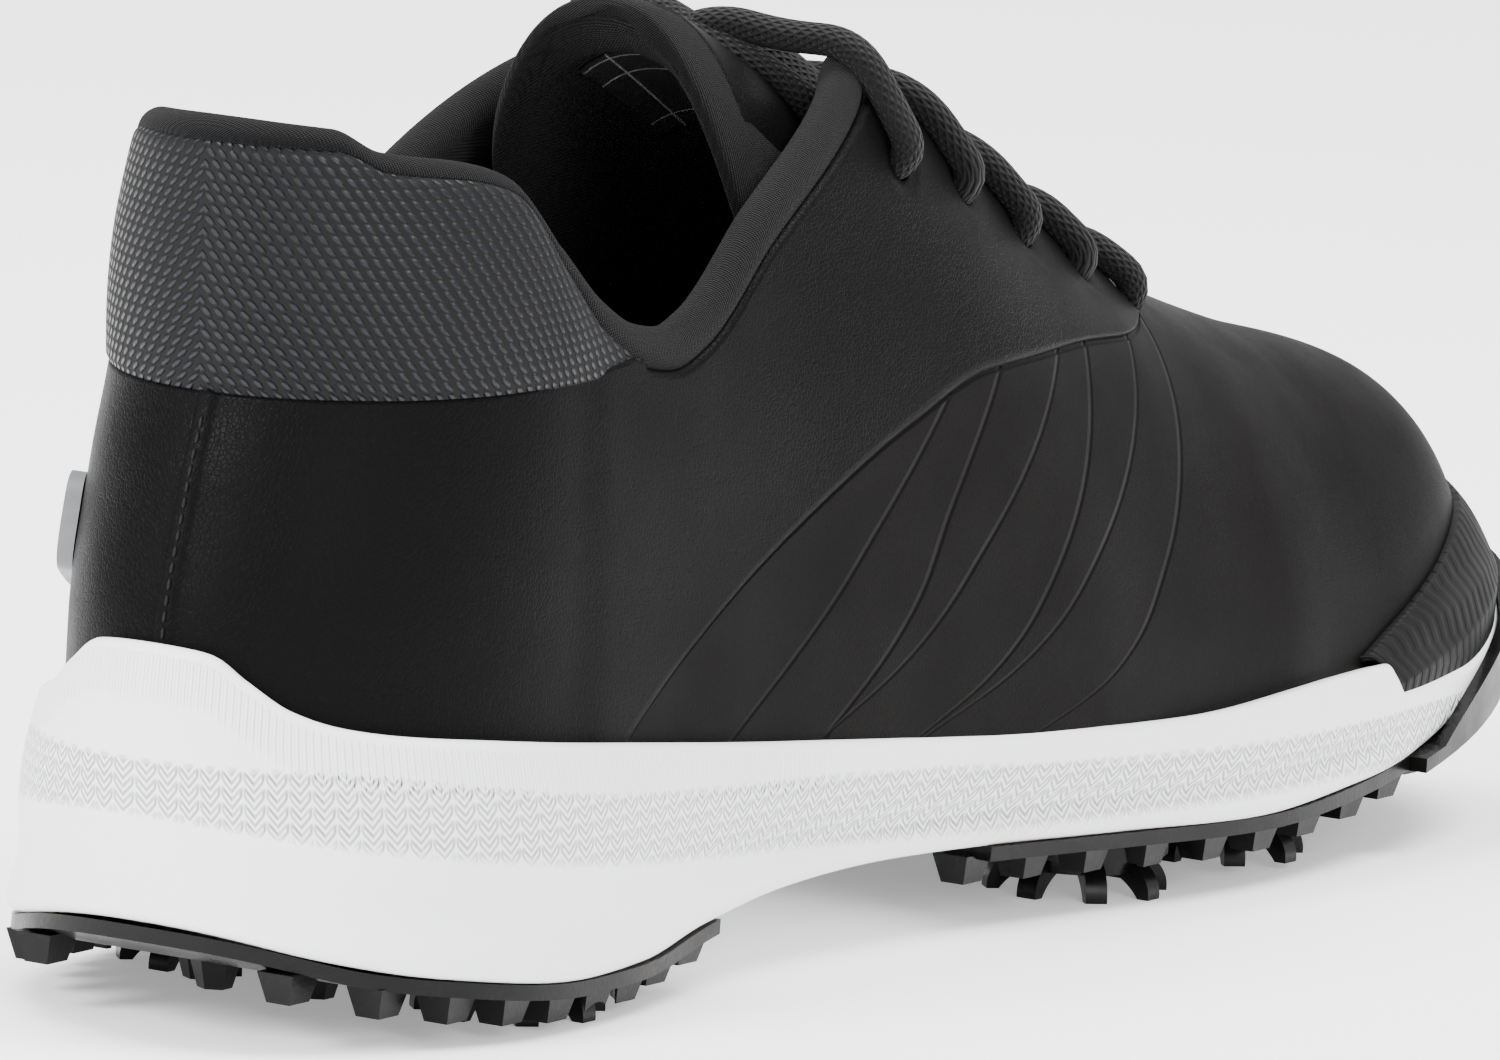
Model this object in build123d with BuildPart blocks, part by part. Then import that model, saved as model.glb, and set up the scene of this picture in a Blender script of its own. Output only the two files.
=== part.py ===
"""Left golf shoe with replaceable soft cleats, men's EUR 42.5.

Frame: +X to the toe, +Y to the outer (lateral) side, +Z up. The origin is on the ground
under the middle of the shoe. Outlines are given by distance from the heel back and are
moved into the frame by at().
"""
from build123d import *
from math import cos, sin, pi, radians
import os

os.makedirs("parts", exist_ok=True)

# ---- driving dimensions (mm) -------------------------------------------------
LENGTH = 303.5            # heel back to the front of the toe wrap
SHIFT_X = -LENGTH / 2     # heel back in the frame
SHIFT_Y = -4.0            # the forefoot bulges to the lateral side
WIDE = 90.0               # half depth of the side-view cutters
TALL = 170.0              # height of the cutters

TOE_FRONT = 296.0         # front of the leather
TOE_ROUND = 235.0         # where the toe starts to close
HEEL_ROUND = 48.0         # where the heel starts to close
ROUNDNESS = 2.2           # exponent of both end roundings

LEATHER = 1.8             # upper leather
STIFFENER = 1.0           # counter, puff and eyestay strip
LINING = 1.0              # textile lining
COLLAR_PAD = 5.0          # foam in the collar, behind a knitted band as thick as the leather
ROLL = 5.0                # width of the lining that is rolled over the collar edge

SOLE_FRONT = 301.5        # front of the foam
SOLE_ROUND = 240.0        # where the foam toe starts to close
PLATE = 2.0               # outsole thickness
WRAP = 1.9                # outsole thickness where it climbs the toe
LUG_HEIGHT = 3.4

SLOT_REAR = 100.0         # the throat is open behind this
SLOT_FRONT = 217.0        # front end of the throat
SLOT_REAR_HALF = 21.5     # half width of the throat at its two ends
SLOT_FRONT_HALF = 10.0
SLOT_CENTRE = -1.0

LACE = 4.4                # lace diameter
EYELET = 5.6              # punched hole
EYELET_INSET = 8.0        # from the throat edge
EYELET_X = [206.0, 189.0, 170.5, 151.5, 132.0]
LACE_OVER = 2.7           # lace centre above the leather
LACE_UNDER = 6.3          # lace centre below the leather's outer face
AGLET_LENGTH = 18.0
AGLET_RADIUS = 1.7

TONGUE_TOP = 11.0         # depth of the tongue's outer face
TONGUE_LEATHER = 1.2
TONGUE_PAD = 3.6
TONGUE_CLOTH = 1.0
BOND = 0.05               # glue line between the tongue's layers
LABEL_THICK = 0.4
LABEL_HALF = 9.0

CLEAT_RADIUS = 12.6
CLEAT_HEIGHT = 5.6
CLEAT_SEATS = [           # x from the heel, y, height of the seat above the ground
    (55.0, -22.0, 5.6),
    (55.0, 24.0, 5.6),
    (188.0, -27.0, 5.6),
    (186.0, 33.0, 5.6),
    (223.0, -28.0, 6.6),
    (228.0, 27.0, 6.8),
    (259.0, -6.0, 10.6),
]
SOCKET_RADIUS = 9.5
SOCKET_DEPTH = 5.0
STEM_RADIUS = 4.0
STEM_LENGTH = 3.6
STEM_GAP = 0.06
SEAT_GAP = 0.3            # between the cleat's disc and the sole
DISC = 2.0
LEG_WIDTH = 3.0
LEGS = 8
LUG_LENGTH = 6.5
LUG_WIDTH = 5.5
LUG_CLEARANCE = 0.9       # no lug comes nearer to the ground than this
SHANK_DEPTH = 3.0         # foam under the shank plate
SHANK_THICK = 1.2
BADGE_THICK = 2.2


def at(x, y, z):
    """A point given from the heel back, in the frame of the part."""
    return (x + SHIFT_X, y + SHIFT_Y, z)


def curve(points):
    """A smooth function through a few points, without overshoot."""
    xs = [p[0] for p in points]
    ys = [p[1] for p in points]
    last = len(xs) - 1
    slopes = [(ys[i + 1] - ys[i]) / (xs[i + 1] - xs[i]) for i in range(last)]
    tangents = [slopes[0]]
    for before, after in zip(slopes, slopes[1:]):
        same_way = before * after > 0
        tangents.append(2 * before * after / (before + after) if same_way else 0.0)
    tangents.append(slopes[-1])

    def value(x):
        x = min(max(x, xs[0]), xs[-1])
        i = 0
        while i < last - 1 and x > xs[i + 1]:
            i += 1
        step = xs[i + 1] - xs[i]
        t = (x - xs[i]) / step
        rise = ys[i] * (1 + 2 * t) * (1 - t) ** 2 + ys[i + 1] * t * t * (3 - 2 * t)
        bend = tangents[i] * t * (1 - t) ** 2 + tangents[i + 1] * t * t * (t - 1)
        return rise + step * bend

    return value


# ---- shape of the upper, by distance from the heel back ----------------------
ridge = curve([(60, 150), (85, 144), (110, 136), (132, 126), (172, 103), (213, 82),
               (245, 71.5), (272, 65), (288, 55), (296, 42)])
heel_back = curve([(18, 1.5), (36, 3), (50, 3), (70, 7), (86, 11), (103, 11), (118, 9), (130, 7)])
medial = curve([(0, 29), (48, 32.5), (90, 34), (130, 38), (172, 42.5), (213, 43), (245, 39), (296, 38)])
lateral = curve([(0, 29), (48, 33), (90, 36.5), (130, 42), (172, 46), (213, 50), (245, 47.5), (296, 45)])
middle = curve([(0, 0), (150, 0), (213, -2), (260, -5), (296, -7)])
wall_power = curve([(0, 3.0), (90, 3.0), (132, 2.9), (172, 2.3), (213, 2.1), (296, 2.1)])
crown_power = curve([(0, 2.2), (90, 2.2), (132, 2.1), (172, 1.9), (213, 1.9), (250, 2.2), (296, 2.4)])
feather = curve([(0, 24), (60, 24), (120, 22), (200, 19), (240, 19.5), (261, 22.5), (280, 28), (296, 35)])

# ---- shape of the sole -------------------------------------------------------
sole_medial = curve([(0, 38), (48, 39.5), (80, 36), (110, 34), (140, 36), (175, 42), (205, 46.2),
                     (234, 44.8), (261, 40.5), (301, 41)])
sole_lateral = curve([(0, 38), (48, 40), (90, 40), (120, 40), (150, 44.5), (180, 51), (210, 56),
                      (240, 54.5), (268, 48.5), (301, 42)])
tread = curve([(0, 15), (8, 12), (22, 9.3), (50, 6.8), (64, 6.9), (82, 9.2), (104, 11.2), (127, 12),
               (150, 11.6), (175, 11), (205, 10.4), (230, 12), (249, 14.2), (270, 18.5), (288, 24.5),
               (303, 33)])
bite = curve([(0, 50.5), (3, 48), (7, 43.6), (12, 41.5), (18, 40.4), (32, 38.5), (54, 35), (103, 31),
              (143, 30), (188, 27.5), (240, 26), (262, 27), (280, 31), (292, 35), (303, 39)])
collar = curve([(-5, 117), (9, 116.5), (15, 113.8), (29, 112.5), (38, 110.5), (48, 102), (57, 93.5),
                (66, 89), (73, 88), (80, 90), (98, 102.5), (118, 113), (136, 121), (160, 135)])
mesh_edge = curve([(-5, 82), (28, 82.5), (48, 83.5), (62, 85), (78, 88.5), (90, 92)])
fan_edge = curve([(50, 20), (63, 35), (77, 46), (100, 59.5), (125, 71), (145, 76.5), (170, 77),
                  (200, 75.5), (230, 77)])
bumper_top = curve([(236, 26.5), (250, 31.5), (265, 37), (282, 43), (304, 47)])
wrap_top = curve([(246, 10), (256, 17), (272, 25), (290, 32), (304, 38)])
UPPER_LEVELS = [16, 24, 34, 42, 50, 57, 62, 66, 70, 75, 83, 94, 106, 120, 132]
TONGUE_STATIONS = [106, 122, 140, 160, 185, 212]
SOLE_LEVELS = [2, 14, 26, 38, 54]
SIDE_POINTS = 11


def closing(x, start, end):
    """1 up to start, then rounding off to 0 at end."""
    travel = min(max((x - start) / (end - start), 0.0), 1.0)
    return (1 - travel ** ROUNDNESS) ** (1 / ROUNDNESS)


def instep_x(height):
    """Distance from the heel at which the ridge has this height."""
    low, high = 60.0, TOE_FRONT
    for _ in range(40):
        half = (low + high) / 2
        if ridge(half) > height:
            low = half
        else:
            high = half
    return low


def closed_outline(back, front, side_widths):
    """Points round a plan outline: out along the medial side, back along the lateral one."""
    near, far = [], []
    for i in range(SIDE_POINTS + 1):
        x = back + (front - back) * (1 - cos(pi * i / SIDE_POINTS)) / 2
        inner, outer = side_widths(x)
        near.append((x + SHIFT_X, middle(x) - inner + SHIFT_Y))
        if 0 < i < SIDE_POINTS:
            far.append((x + SHIFT_X, middle(x) + outer + SHIFT_Y))
    return near + far[::-1]


def upper_outline(height, inset):
    """Plan outline of the upper at a height, moved inwards by inset."""
    back = heel_back(height) + inset
    front = TOE_FRONT - inset if height + inset <= ridge(TOE_FRONT) else instep_x(height + inset)

    def side_widths(x):
        rise = (height - feather(x)) / (ridge(x) - inset - feather(x))
        rise = min(max(rise, 0.0), 1.0)
        arch = (1 - rise ** wall_power(x)) ** (1 / crown_power(x))
        arch *= closing(-x, -HEEL_ROUND, -back)
        arch *= closing(x, TOE_ROUND, TOE_FRONT - inset)
        return (medial(x) - inset) * arch, (lateral(x) - inset) * arch

    return closed_outline(back, front, side_widths)


def sole_outline(height, grow):
    """Plan outline of the foam: wide at the ground, close to the upper at the lip."""
    lip = min(max((height - 10.0) / 30.0, 0.0), 1.0)
    back = 0.2 - grow
    front = SOLE_FRONT + grow

    def side_widths(x):
        ends = closing(-x, -HEEL_ROUND, -back) * closing(x, SOLE_ROUND, front)
        inner = sole_medial(x) * (1 - lip) + (medial(x) + 3.4) * lip + grow
        outer = sole_lateral(x) * (1 - lip) + (lateral(x) + 3.4) * lip + grow
        return inner * ends, outer * ends

    return closed_outline(back, front, side_widths)


def upper_solid(inset):
    """The room inside the upper at a depth of inset under its outer face."""
    with BuildPart() as body:
        for height in UPPER_LEVELS:
            with BuildSketch(Plane.XY.offset(height)):
                with BuildLine():
                    Spline(*upper_outline(height, inset), periodic=True)
                make_face()
        loft()
    return body.part


def sole_solid(grow):
    """The outer form of the foam, grown sideways."""
    with BuildPart() as body:
        for height in SOLE_LEVELS:
            with BuildSketch(Plane.XY.offset(height)):
                with BuildLine():
                    Spline(*sole_outline(height, grow), periodic=True)
                make_face()
        loft()
    return body.part


def side_block(profile, start, end, lift, limit):
    """Everything between a side-view line and a height, across the whole shoe."""
    count = max(6, int((end - start) / 11))
    stations = [start + (end - start) * i / count for i in range(count + 1)]
    with BuildPart() as block:
        with BuildSketch(Plane.XZ):
            with BuildLine():
                line = Spline(*[(x + SHIFT_X, profile(x) + lift) for x in stations])
                Polyline(line @ 1, (end + SHIFT_X, limit), (start + SHIFT_X, limit), line @ 0)
            make_face()
        extrude(amount=WIDE, both=True)
    return block.part


def slot_half(x):
    """Half width of the throat at a distance from the heel."""
    along = (x - SLOT_REAR) / (SLOT_FRONT - SLOT_REAR)
    return SLOT_REAR_HALF + (SLOT_FRONT_HALF - SLOT_REAR_HALF) * along


def plan_block(outline_points, low, high):
    """A straight column over a polygon given from the heel back."""
    with BuildPart() as block:
        with BuildSketch(Plane.XY.offset(low)):
            with BuildLine():
                Polyline(*[(x + SHIFT_X, y + SHIFT_Y) for x, y in outline_points], close=True)
            make_face()
        extrude(amount=high - low)
    return block.part


def half_space(side):
    """Everything on the medial (-1) or the lateral (+1) side of the centre-back seam."""
    return plan_block([(-20, 0), (320, 0), (320, side * WIDE), (-20, side * WIDE)], -5, TALL)


def crown(x, y):
    """Height of the upper's outer face over a point of the plan."""
    offset = y - middle(x)
    reach = lateral(x) if offset > 0 else medial(x)
    arch = min(abs(offset) / reach, 1.0)
    rise = (1 - arch ** crown_power(x)) ** (1 / wall_power(x))
    return feather(x) + rise * (ridge(x) - feather(x))


def outward(x, y):
    """The direction that leaves the upper at a point of the plan."""
    step = 0.5
    slope_x = (crown(x + step, y) - crown(x - step, y)) / (2 * step)
    slope_y = (crown(x, y + step) - crown(x, y - step)) / (2 * step)
    return Vector(-slope_x, -slope_y, 1).normalized()


def off_surface(x, y, height):
    """A point at a height above (or a depth below) the upper's outer face."""
    return Vector(*at(x, y, crown(x, y))) + outward(x, y) * height


def save(piece, label):
    """Label a finished piece and write it under its node's name."""
    piece.part.label = label
    export_step(piece.part, f"parts/{label}.step")


# ---- nested forms ------------------------------------------------------------
outer_form = upper_solid(0)
leather_form = upper_solid(LEATHER)
stiff_form = upper_solid(LEATHER + STIFFENER)
lining_form = upper_solid(LEATHER + STIFFENER + LINING)
pad_form = upper_solid(LEATHER + COLLAR_PAD)
pad_lining_form = upper_solid(LEATHER + COLLAR_PAD + LINING)
foam_form = sole_solid(0)


# ---- cutters -----------------------------------------------------------------
over_feather = side_block(feather, -10, 310, 0, TALL)
over_board = side_block(feather, -10, 310, 1.6, TALL)
over_insole = side_block(feather, -10, 310, 6.6, TALL)
over_tread = side_block(tread, -10, 312, 0, TALL)
over_plate = side_block(tread, -10, 312, -PLATE, TALL)
over_bite = side_block(bite, -10, 312, 0, TALL)
over_bumper = side_block(bumper_top, 236, 312, 0, TALL)
over_wrap = side_block(wrap_top, 246, 312, 0, -30)
over_collar = side_block(collar, -10, 145, 0, TALL)
over_roll = side_block(collar, -10, 145, -ROLL, TALL)
over_mesh = side_block(mesh_edge, -10, 79, 0, TALL)
ahead_of_fan = side_block(fan_edge, 50, 225, 0, -10)
toe_room = plan_block([(224, -WIDE), (330, -WIDE), (330, WIDE), (224, WIDE)], -10, TALL)
medial_half = half_space(-1)
lateral_half = half_space(1)

throat_corners = [(SLOT_REAR, SLOT_CENTRE - SLOT_REAR_HALF), (SLOT_FRONT - 8, SLOT_CENTRE - slot_half(SLOT_FRONT - 8)),
                  (SLOT_FRONT, SLOT_CENTRE - 4), (SLOT_FRONT, SLOT_CENTRE + 4),
                  (SLOT_FRONT - 8, SLOT_CENTRE + slot_half(SLOT_FRONT - 8)), (SLOT_REAR, SLOT_CENTRE + SLOT_REAR_HALF)]
throat = plan_block(throat_corners, 66, TALL)


def eyelet_rows():
    """(x, y) of the punched holes, medial row first in each pair, from the toe back."""
    for x in EYELET_X:
        reach = slot_half(x) + EYELET_INSET
        yield x, SLOT_CENTRE - reach
        yield x, SLOT_CENTRE + reach


def punch():
    """A drill for every eyelet, square to the leather."""
    with BuildPart() as drills:
        for x, y in eyelet_rows():
            with BuildSketch(Plane(off_surface(x, y, -8), z_dir=outward(x, y))):
                Circle(EYELET / 2)
            extrude(amount=11)
    return drills.part


drills = punch()

# ---- upper: leather ----------------------------------------------------------
leather_shell = (outer_form - leather_form) & over_feather
leather_shell = leather_shell - throat - over_roll

with BuildPart() as vamp:
    add(leather_shell)
    add(ahead_of_fan + toe_room, mode=Mode.INTERSECT)
save(vamp, "vamp")

for side, half in (("medial", medial_half), ("lateral", lateral_half)):
    with BuildPart() as quarter:
        add(leather_shell)
        add(half, mode=Mode.INTERSECT)
        add(ahead_of_fan, mode=Mode.SUBTRACT)
        add(toe_room, mode=Mode.SUBTRACT)
        add(over_mesh, mode=Mode.SUBTRACT)
        add(drills, mode=Mode.SUBTRACT)
    save(quarter, f"quarter_{side}")

# ---- collar: knitted band, foam and the rolled lining ------------------------
collar_zone = over_mesh - over_roll

with BuildPart() as collar_mesh:
    add(outer_form)
    add(collar_zone, mode=Mode.INTERSECT)
    add(leather_form, mode=Mode.SUBTRACT)
save(collar_mesh, "collar_mesh")

with BuildPart() as collar_foam:
    add(leather_form)
    add(collar_zone, mode=Mode.INTERSECT)
    add(pad_form, mode=Mode.SUBTRACT)
save(collar_foam, "collar_foam")

collar_roll = (outer_form & over_roll) - over_collar - pad_lining_form - throat

with BuildPart() as collar_lining:
    add(pad_form)
    add(collar_zone, mode=Mode.INTERSECT)
    add(pad_lining_form, mode=Mode.SUBTRACT)
    add(collar_roll)
save(collar_lining, "collar_lining")

# ---- stiffeners between the leather and the lining ---------------------------
counter_zone = plan_block([(-20, -WIDE), (74, -WIDE), (74, WIDE), (-20, WIDE)], -5, TALL)
puff_zone = plan_block([(252, -WIDE), (330, -WIDE), (330, WIDE), (252, WIDE)], -5, TALL)
stiff_shell = (leather_form - stiff_form) & over_board

with BuildPart() as heel_counter:
    add(stiff_shell)
    add(counter_zone, mode=Mode.INTERSECT)
    add(over_mesh, mode=Mode.SUBTRACT)
    add(over_roll, mode=Mode.SUBTRACT)
save(heel_counter, "heel_counter")

with BuildPart() as toe_puff:
    add(stiff_shell)
    add(puff_zone, mode=Mode.INTERSECT)
save(toe_puff, "toe_puff")

for side, sign in (("medial", -1), ("lateral", 1)):
    strip_corners = []
    for x in (126, 150, 180, 211):
        strip_corners.append((x, SLOT_CENTRE + sign * (slot_half(x) - 1)))
    for x in (211, 180, 150, 126):
        strip_corners.append((x, SLOT_CENTRE + sign * (slot_half(x) + 16)))
    strip_zone = plan_block(strip_corners, 60, TALL)
    with BuildPart() as eyestay:
        add(stiff_shell)
        add(strip_zone, mode=Mode.INTERSECT)
        add(throat, mode=Mode.SUBTRACT)
        add(over_roll, mode=Mode.SUBTRACT)
        add(drills, mode=Mode.SUBTRACT)
    save(eyestay, f"eyestay_{side}")

# ---- linings -----------------------------------------------------------------
lining_shell = (stiff_form - lining_form) & over_board
lining_shell = lining_shell - throat - over_roll
front_room = ahead_of_fan + toe_room

with BuildPart() as vamp_lining:
    add(lining_shell)
    add(front_room, mode=Mode.INTERSECT)
save(vamp_lining, "vamp_lining")

with BuildPart() as quarter_lining:
    add(lining_shell)
    add(front_room, mode=Mode.SUBTRACT)
    add(over_mesh, mode=Mode.SUBTRACT)
    add(drills, mode=Mode.SUBTRACT)
save(quarter_lining, "quarter_lining")

# ---- board and footbed -------------------------------------------------------
with BuildPart() as strobel_board:
    add(leather_form)
    add(over_feather, mode=Mode.INTERSECT)
    add(over_board, mode=Mode.SUBTRACT)
save(strobel_board, "strobel_board")

with BuildPart() as insole:
    add(lining_form)
    add(over_board, mode=Mode.INTERSECT)
    add(over_insole, mode=Mode.SUBTRACT)
save(insole, "insole")

# ---- tongue ------------------------------------------------------------------
tongue_half = curve([(106, 22), (118, 25), (136, 27), (185, 22), (212, 18)])


def tongue_arch(x, half, depth):
    """Three points across the tongue at a depth under the upper's outer face."""
    for share in (-1, 0, 1):
        y = SLOT_CENTRE + share * half
        yield (y + SHIFT_Y, crown(x, y) - depth / outward(x, y).Z)


def tongue_layer(top, thickness):
    """One layer of the tongue, lofted from the ankle to the throat."""
    with BuildPart() as body:
        for x in TONGUE_STATIONS:
            with BuildSketch(Plane.YZ.offset(x + SHIFT_X)):
                with BuildLine():
                    upper_arc = Spline(*tongue_arch(x, tongue_half(x), top))
                    lower_arc = Spline(*tongue_arch(x, tongue_half(x), top + thickness))
                    Line(upper_arc @ 0, lower_arc @ 0)
                    Line(upper_arc @ 1, lower_arc @ 1)
                make_face()
        loft()
    return body


layer_top = TONGUE_TOP
for label, thickness in (("tongue_outer", TONGUE_LEATHER), ("tongue_foam", TONGUE_PAD),
                         ("tongue_lining", TONGUE_CLOTH)):
    save(tongue_layer(layer_top, thickness), label)
    layer_top += thickness + BOND

label_zone = plan_block([(110, SLOT_CENTRE - LABEL_HALF), (128, SLOT_CENTRE - LABEL_HALF),
                         (128, SLOT_CENTRE + LABEL_HALF), (110, SLOT_CENTRE + LABEL_HALF)], 60, TALL)
with BuildPart() as size_label:
    add(tongue_layer(layer_top, LABEL_THICK).part)
    add(label_zone, mode=Mode.INTERSECT)
save(size_label, "size_label")

# ---- lace --------------------------------------------------------------------
def crossing(start, end, upper_strand):
    """Points from an eyelet of one side, over its facing, to under the facing of the other."""
    (x0, y0), (x1, y1) = start, end
    side = 1 if y0 > SLOT_CENTRE else -1
    edge0 = SLOT_CENTRE + side * (abs(y0 - SLOT_CENTRE) - EYELET_INSET)
    edge1 = SLOT_CENTRE - side * (abs(y1 - SLOT_CENTRE) - EYELET_INSET)
    step = (x1 - x0) / 4
    middle_height = -1.6 if upper_strand else -6.5
    return [
        off_surface(x0, y0, -LACE_UNDER),
        off_surface(x0, y0, LACE_OVER),
        off_surface(x0 + step, edge0, LACE_OVER),
        off_surface(x0 + 2 * step, SLOT_CENTRE, middle_height),
        off_surface(x0 + 3 * step, edge1, -LACE_UNDER),
    ]


def half_lace(first_side):
    """One end of the lace, from the lowest eyelet of a side up to its tucked tip."""
    holes = []
    side = first_side
    for x in EYELET_X:
        holes.append((x, SLOT_CENTRE + side * (slot_half(x) + EYELET_INSET)))
        side = -side
    route = []
    for start, end in zip(holes, holes[1:]):
        route += crossing(start, end, first_side < 0)
    x, y = holes[-1]
    out = 1 if y > SLOT_CENTRE else -1
    edge = slot_half(x)
    route += [
        off_surface(x, y, -LACE_UNDER),
        off_surface(x, y, LACE_OVER),
        off_surface(x - 5, SLOT_CENTRE + out * edge, LACE_OVER),
        off_surface(x - 9, SLOT_CENTRE, -1.6 if first_side < 0 else -6.5),
        off_surface(x - 6, SLOT_CENTRE - out * edge, -LACE_UNDER),
        off_surface(x + 8, SLOT_CENTRE - out * (edge + 13), -LACE_UNDER),
        off_surface(x + 24, SLOT_CENTRE - out * (edge + 16), -LACE_UNDER),
        off_surface(x + 38, SLOT_CENTRE - out * (edge + 16), -LACE_UNDER),
    ]
    return route


medial_route = half_lace(-1)
lateral_route = half_lace(1)
across_x = EYELET_X[0]
bottom_bar = [off_surface(across_x, SLOT_CENTRE, -6.5)]
lace_route = medial_route[::-1] + bottom_bar + lateral_route


def corner_radii(route):
    """Radii of the bends: 0.45 of the shorter run over the tangent of half the turn."""
    radii = []
    for before, here, after in zip(route, route[1:], route[2:]):
        turn = radians((here - before).get_angle(after - here))
        shorter = min((here - before).length, (after - here).length)
        radii.append(min(0.45 * shorter / (sin(turn / 2) / cos(turn / 2)), 60.0))
    return radii


lace_radii = corner_radii(lace_route)
with BuildPart() as lace:
    with BuildLine() as lace_line:
        FilletPolyline(*lace_route, radius=lace_radii)
    with BuildSketch(Plane(lace_line.line @ 0, z_dir=lace_line.line % 0)):
        Circle(LACE / 2)
    sweep(transition=Transition.RIGHT)
save(lace, "lace")

with BuildPart() as aglets:
    for tip, direction in ((lace_line.line @ 0, lace_line.line % 0 * -1), (lace_line.line @ 1, lace_line.line % 1)):
        with BuildSketch(Plane(tip, z_dir=direction)):
            Circle(AGLET_RADIUS)
        extrude(amount=AGLET_LENGTH)
save(aglets, "aglets")

# ---- outsole seats, shared by the sole pieces and the cleats -----------------
def seat_columns(radius, low, high):
    """A column on every cleat seat; heights are given from the seat."""
    with BuildPart() as columns:
        for x, y, seat in CLEAT_SEATS:
            with BuildSketch(Plane.XY.offset(seat + low)):
                with Locations((x + SHIFT_X, y + SHIFT_Y)):
                    Circle(radius)
            extrude(amount=high - low)
    return columns.part


socket_room = seat_columns(SOCKET_RADIUS, 0, SOCKET_DEPTH)
cleat_room = seat_columns(CLEAT_RADIUS + 1.2, -12, 0)

# ---- midsole -----------------------------------------------------------------
foam_block = (foam_form & over_tread) - over_bite
shank_zone = plan_block([(78, -20), (172, -24), (172, 26), (78, 20)], 0, 40)
over_shank = side_block(tread, 70, 180, SHANK_DEPTH, TALL)
over_shank_top = side_block(tread, 70, 180, SHANK_DEPTH + SHANK_THICK, TALL)

with BuildPart() as shank_plate:
    add(shank_zone)
    add(over_shank, mode=Mode.INTERSECT)
    add(over_shank_top, mode=Mode.SUBTRACT)
save(shank_plate, "shank_plate")

with BuildPart() as midsole:
    add(foam_block)
    add(outer_form & over_feather, mode=Mode.SUBTRACT)
    add(shank_plate.part, mode=Mode.SUBTRACT)
    add(socket_room, mode=Mode.SUBTRACT)
save(midsole, "midsole")

# ---- toe bumper: the rand between the foam lip and the leather ---------------
bumper_form = sole_solid(-1.2)
with BuildPart() as toe_bumper:
    add(bumper_form)
    add(over_bite, mode=Mode.INTERSECT)
    add(over_bumper, mode=Mode.SUBTRACT)
    add(plan_block([(238, -WIDE), (330, -WIDE), (330, WIDE), (238, WIDE)], 10, TALL), mode=Mode.INTERSECT)
    add(outer_form, mode=Mode.SUBTRACT)
save(toe_bumper, "toe_bumper")

# ---- outsole -----------------------------------------------------------------
heel_zone = plan_block([(-10, -WIDE), (88, -WIDE), (84, 0), (88, WIDE), (-10, WIDE)], -10, 60)
ball_zone = plan_block([(142, -WIDE), (320, -WIDE), (320, WIDE), (142, WIDE), (154, 0)], -10, 60)
plate_form = sole_solid(-1.0)
plate = (plate_form & over_plate) - over_tread
bosses = seat_columns(SOCKET_RADIUS + 3.0, 0, 7)


def edge_lugs(inset, start, end, spacing):
    """Small blunt lugs along both edges of the plate, from x start to x end."""
    with BuildPart() as lugs:
        count = int((end - start) / spacing)
        for i in range(count + 1):
            x = start + (end - start) * i / count
            ends = closing(-x, -HEEL_ROUND, -0.2) * closing(x, SOLE_ROUND, SOLE_FRONT)
            for side, reach in ((-1, sole_medial(x)), (1, sole_lateral(x))):
                y = middle(x) + side * (reach * ends - inset)
                low = max(tread(x) - PLATE - LUG_HEIGHT, LUG_CLEARANCE)
                with BuildSketch(Plane.XY.offset(tread(x) - PLATE + 0.6)):
                    with Locations((x + SHIFT_X, y + SHIFT_Y)):
                        Rectangle(LUG_LENGTH, LUG_WIDTH)
                extrude(amount=low - tread(x) + PLATE - 0.6, taper=14)
    return lugs.part


def lug_field(places):
    """Lugs inside the plate, given from the heel back."""
    with BuildPart() as lugs:
        for x, y in places:
            low = max(tread(x) - PLATE - LUG_HEIGHT, LUG_CLEARANCE)
            with BuildSketch(Plane.XY.offset(tread(x) - PLATE + 0.6)):
                with Locations((x + SHIFT_X, y + SHIFT_Y)):
                    RegularPolygon(LUG_WIDTH * 0.62, 6)
            extrude(amount=low - tread(x) + PLATE - 0.6, taper=14)
    return lugs.part


heel_field = [(20, 0), (30, -9), (30, 9), (40, 0), (56, 1), (72, -8), (72, 10)]
ball_field = [(166, -10), (166, 12), (172, 0), (188, 3), (204, -10), (206, 14), (206, 2), (224, -1), (240, -14),
              (242, 10), (240, 28), (275, -20), (276, 10)]

with BuildPart() as outsole_heel:
    add(plate)
    add(heel_zone, mode=Mode.INTERSECT)
    add(edge_lugs(5.5, 9, 82, 8.6))
    add(lug_field(heel_field))
    add(cleat_room, mode=Mode.SUBTRACT)
    add(socket_room, mode=Mode.SUBTRACT)
save(outsole_heel, "outsole_heel")

wrap_zone = plan_block([(246, -WIDE), (330, -WIDE), (330, WIDE), (246, WIDE)], 0, TALL)
wrap_form = sole_solid(WRAP)
wrap_shell = (wrap_form - foam_form) & over_plate
wrap_floor = (wrap_form & over_plate) - over_tread
with BuildPart() as outsole_forefoot:
    add(plate)
    add(ball_zone, mode=Mode.INTERSECT)
    add(bosses & ball_zone)
    add(over_tread, mode=Mode.SUBTRACT)
    add(edge_lugs(5.5, 150, 290, 11.5))
    add(lug_field(ball_field))
    add(wrap_floor & wrap_zone)
    add(wrap_shell & over_wrap & wrap_zone)
    add(cleat_room, mode=Mode.SUBTRACT)
    add(socket_room, mode=Mode.SUBTRACT)
save(outsole_forefoot, "outsole_forefoot")

# ---- cleat sockets -----------------------------------------------------------
with BuildPart() as cleat_receptacles:
    add(socket_room)
    add(seat_columns(STEM_RADIUS + STEM_GAP, 0, STEM_LENGTH + 0.4), mode=Mode.SUBTRACT)
save(cleat_receptacles, "cleat_receptacles")

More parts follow.
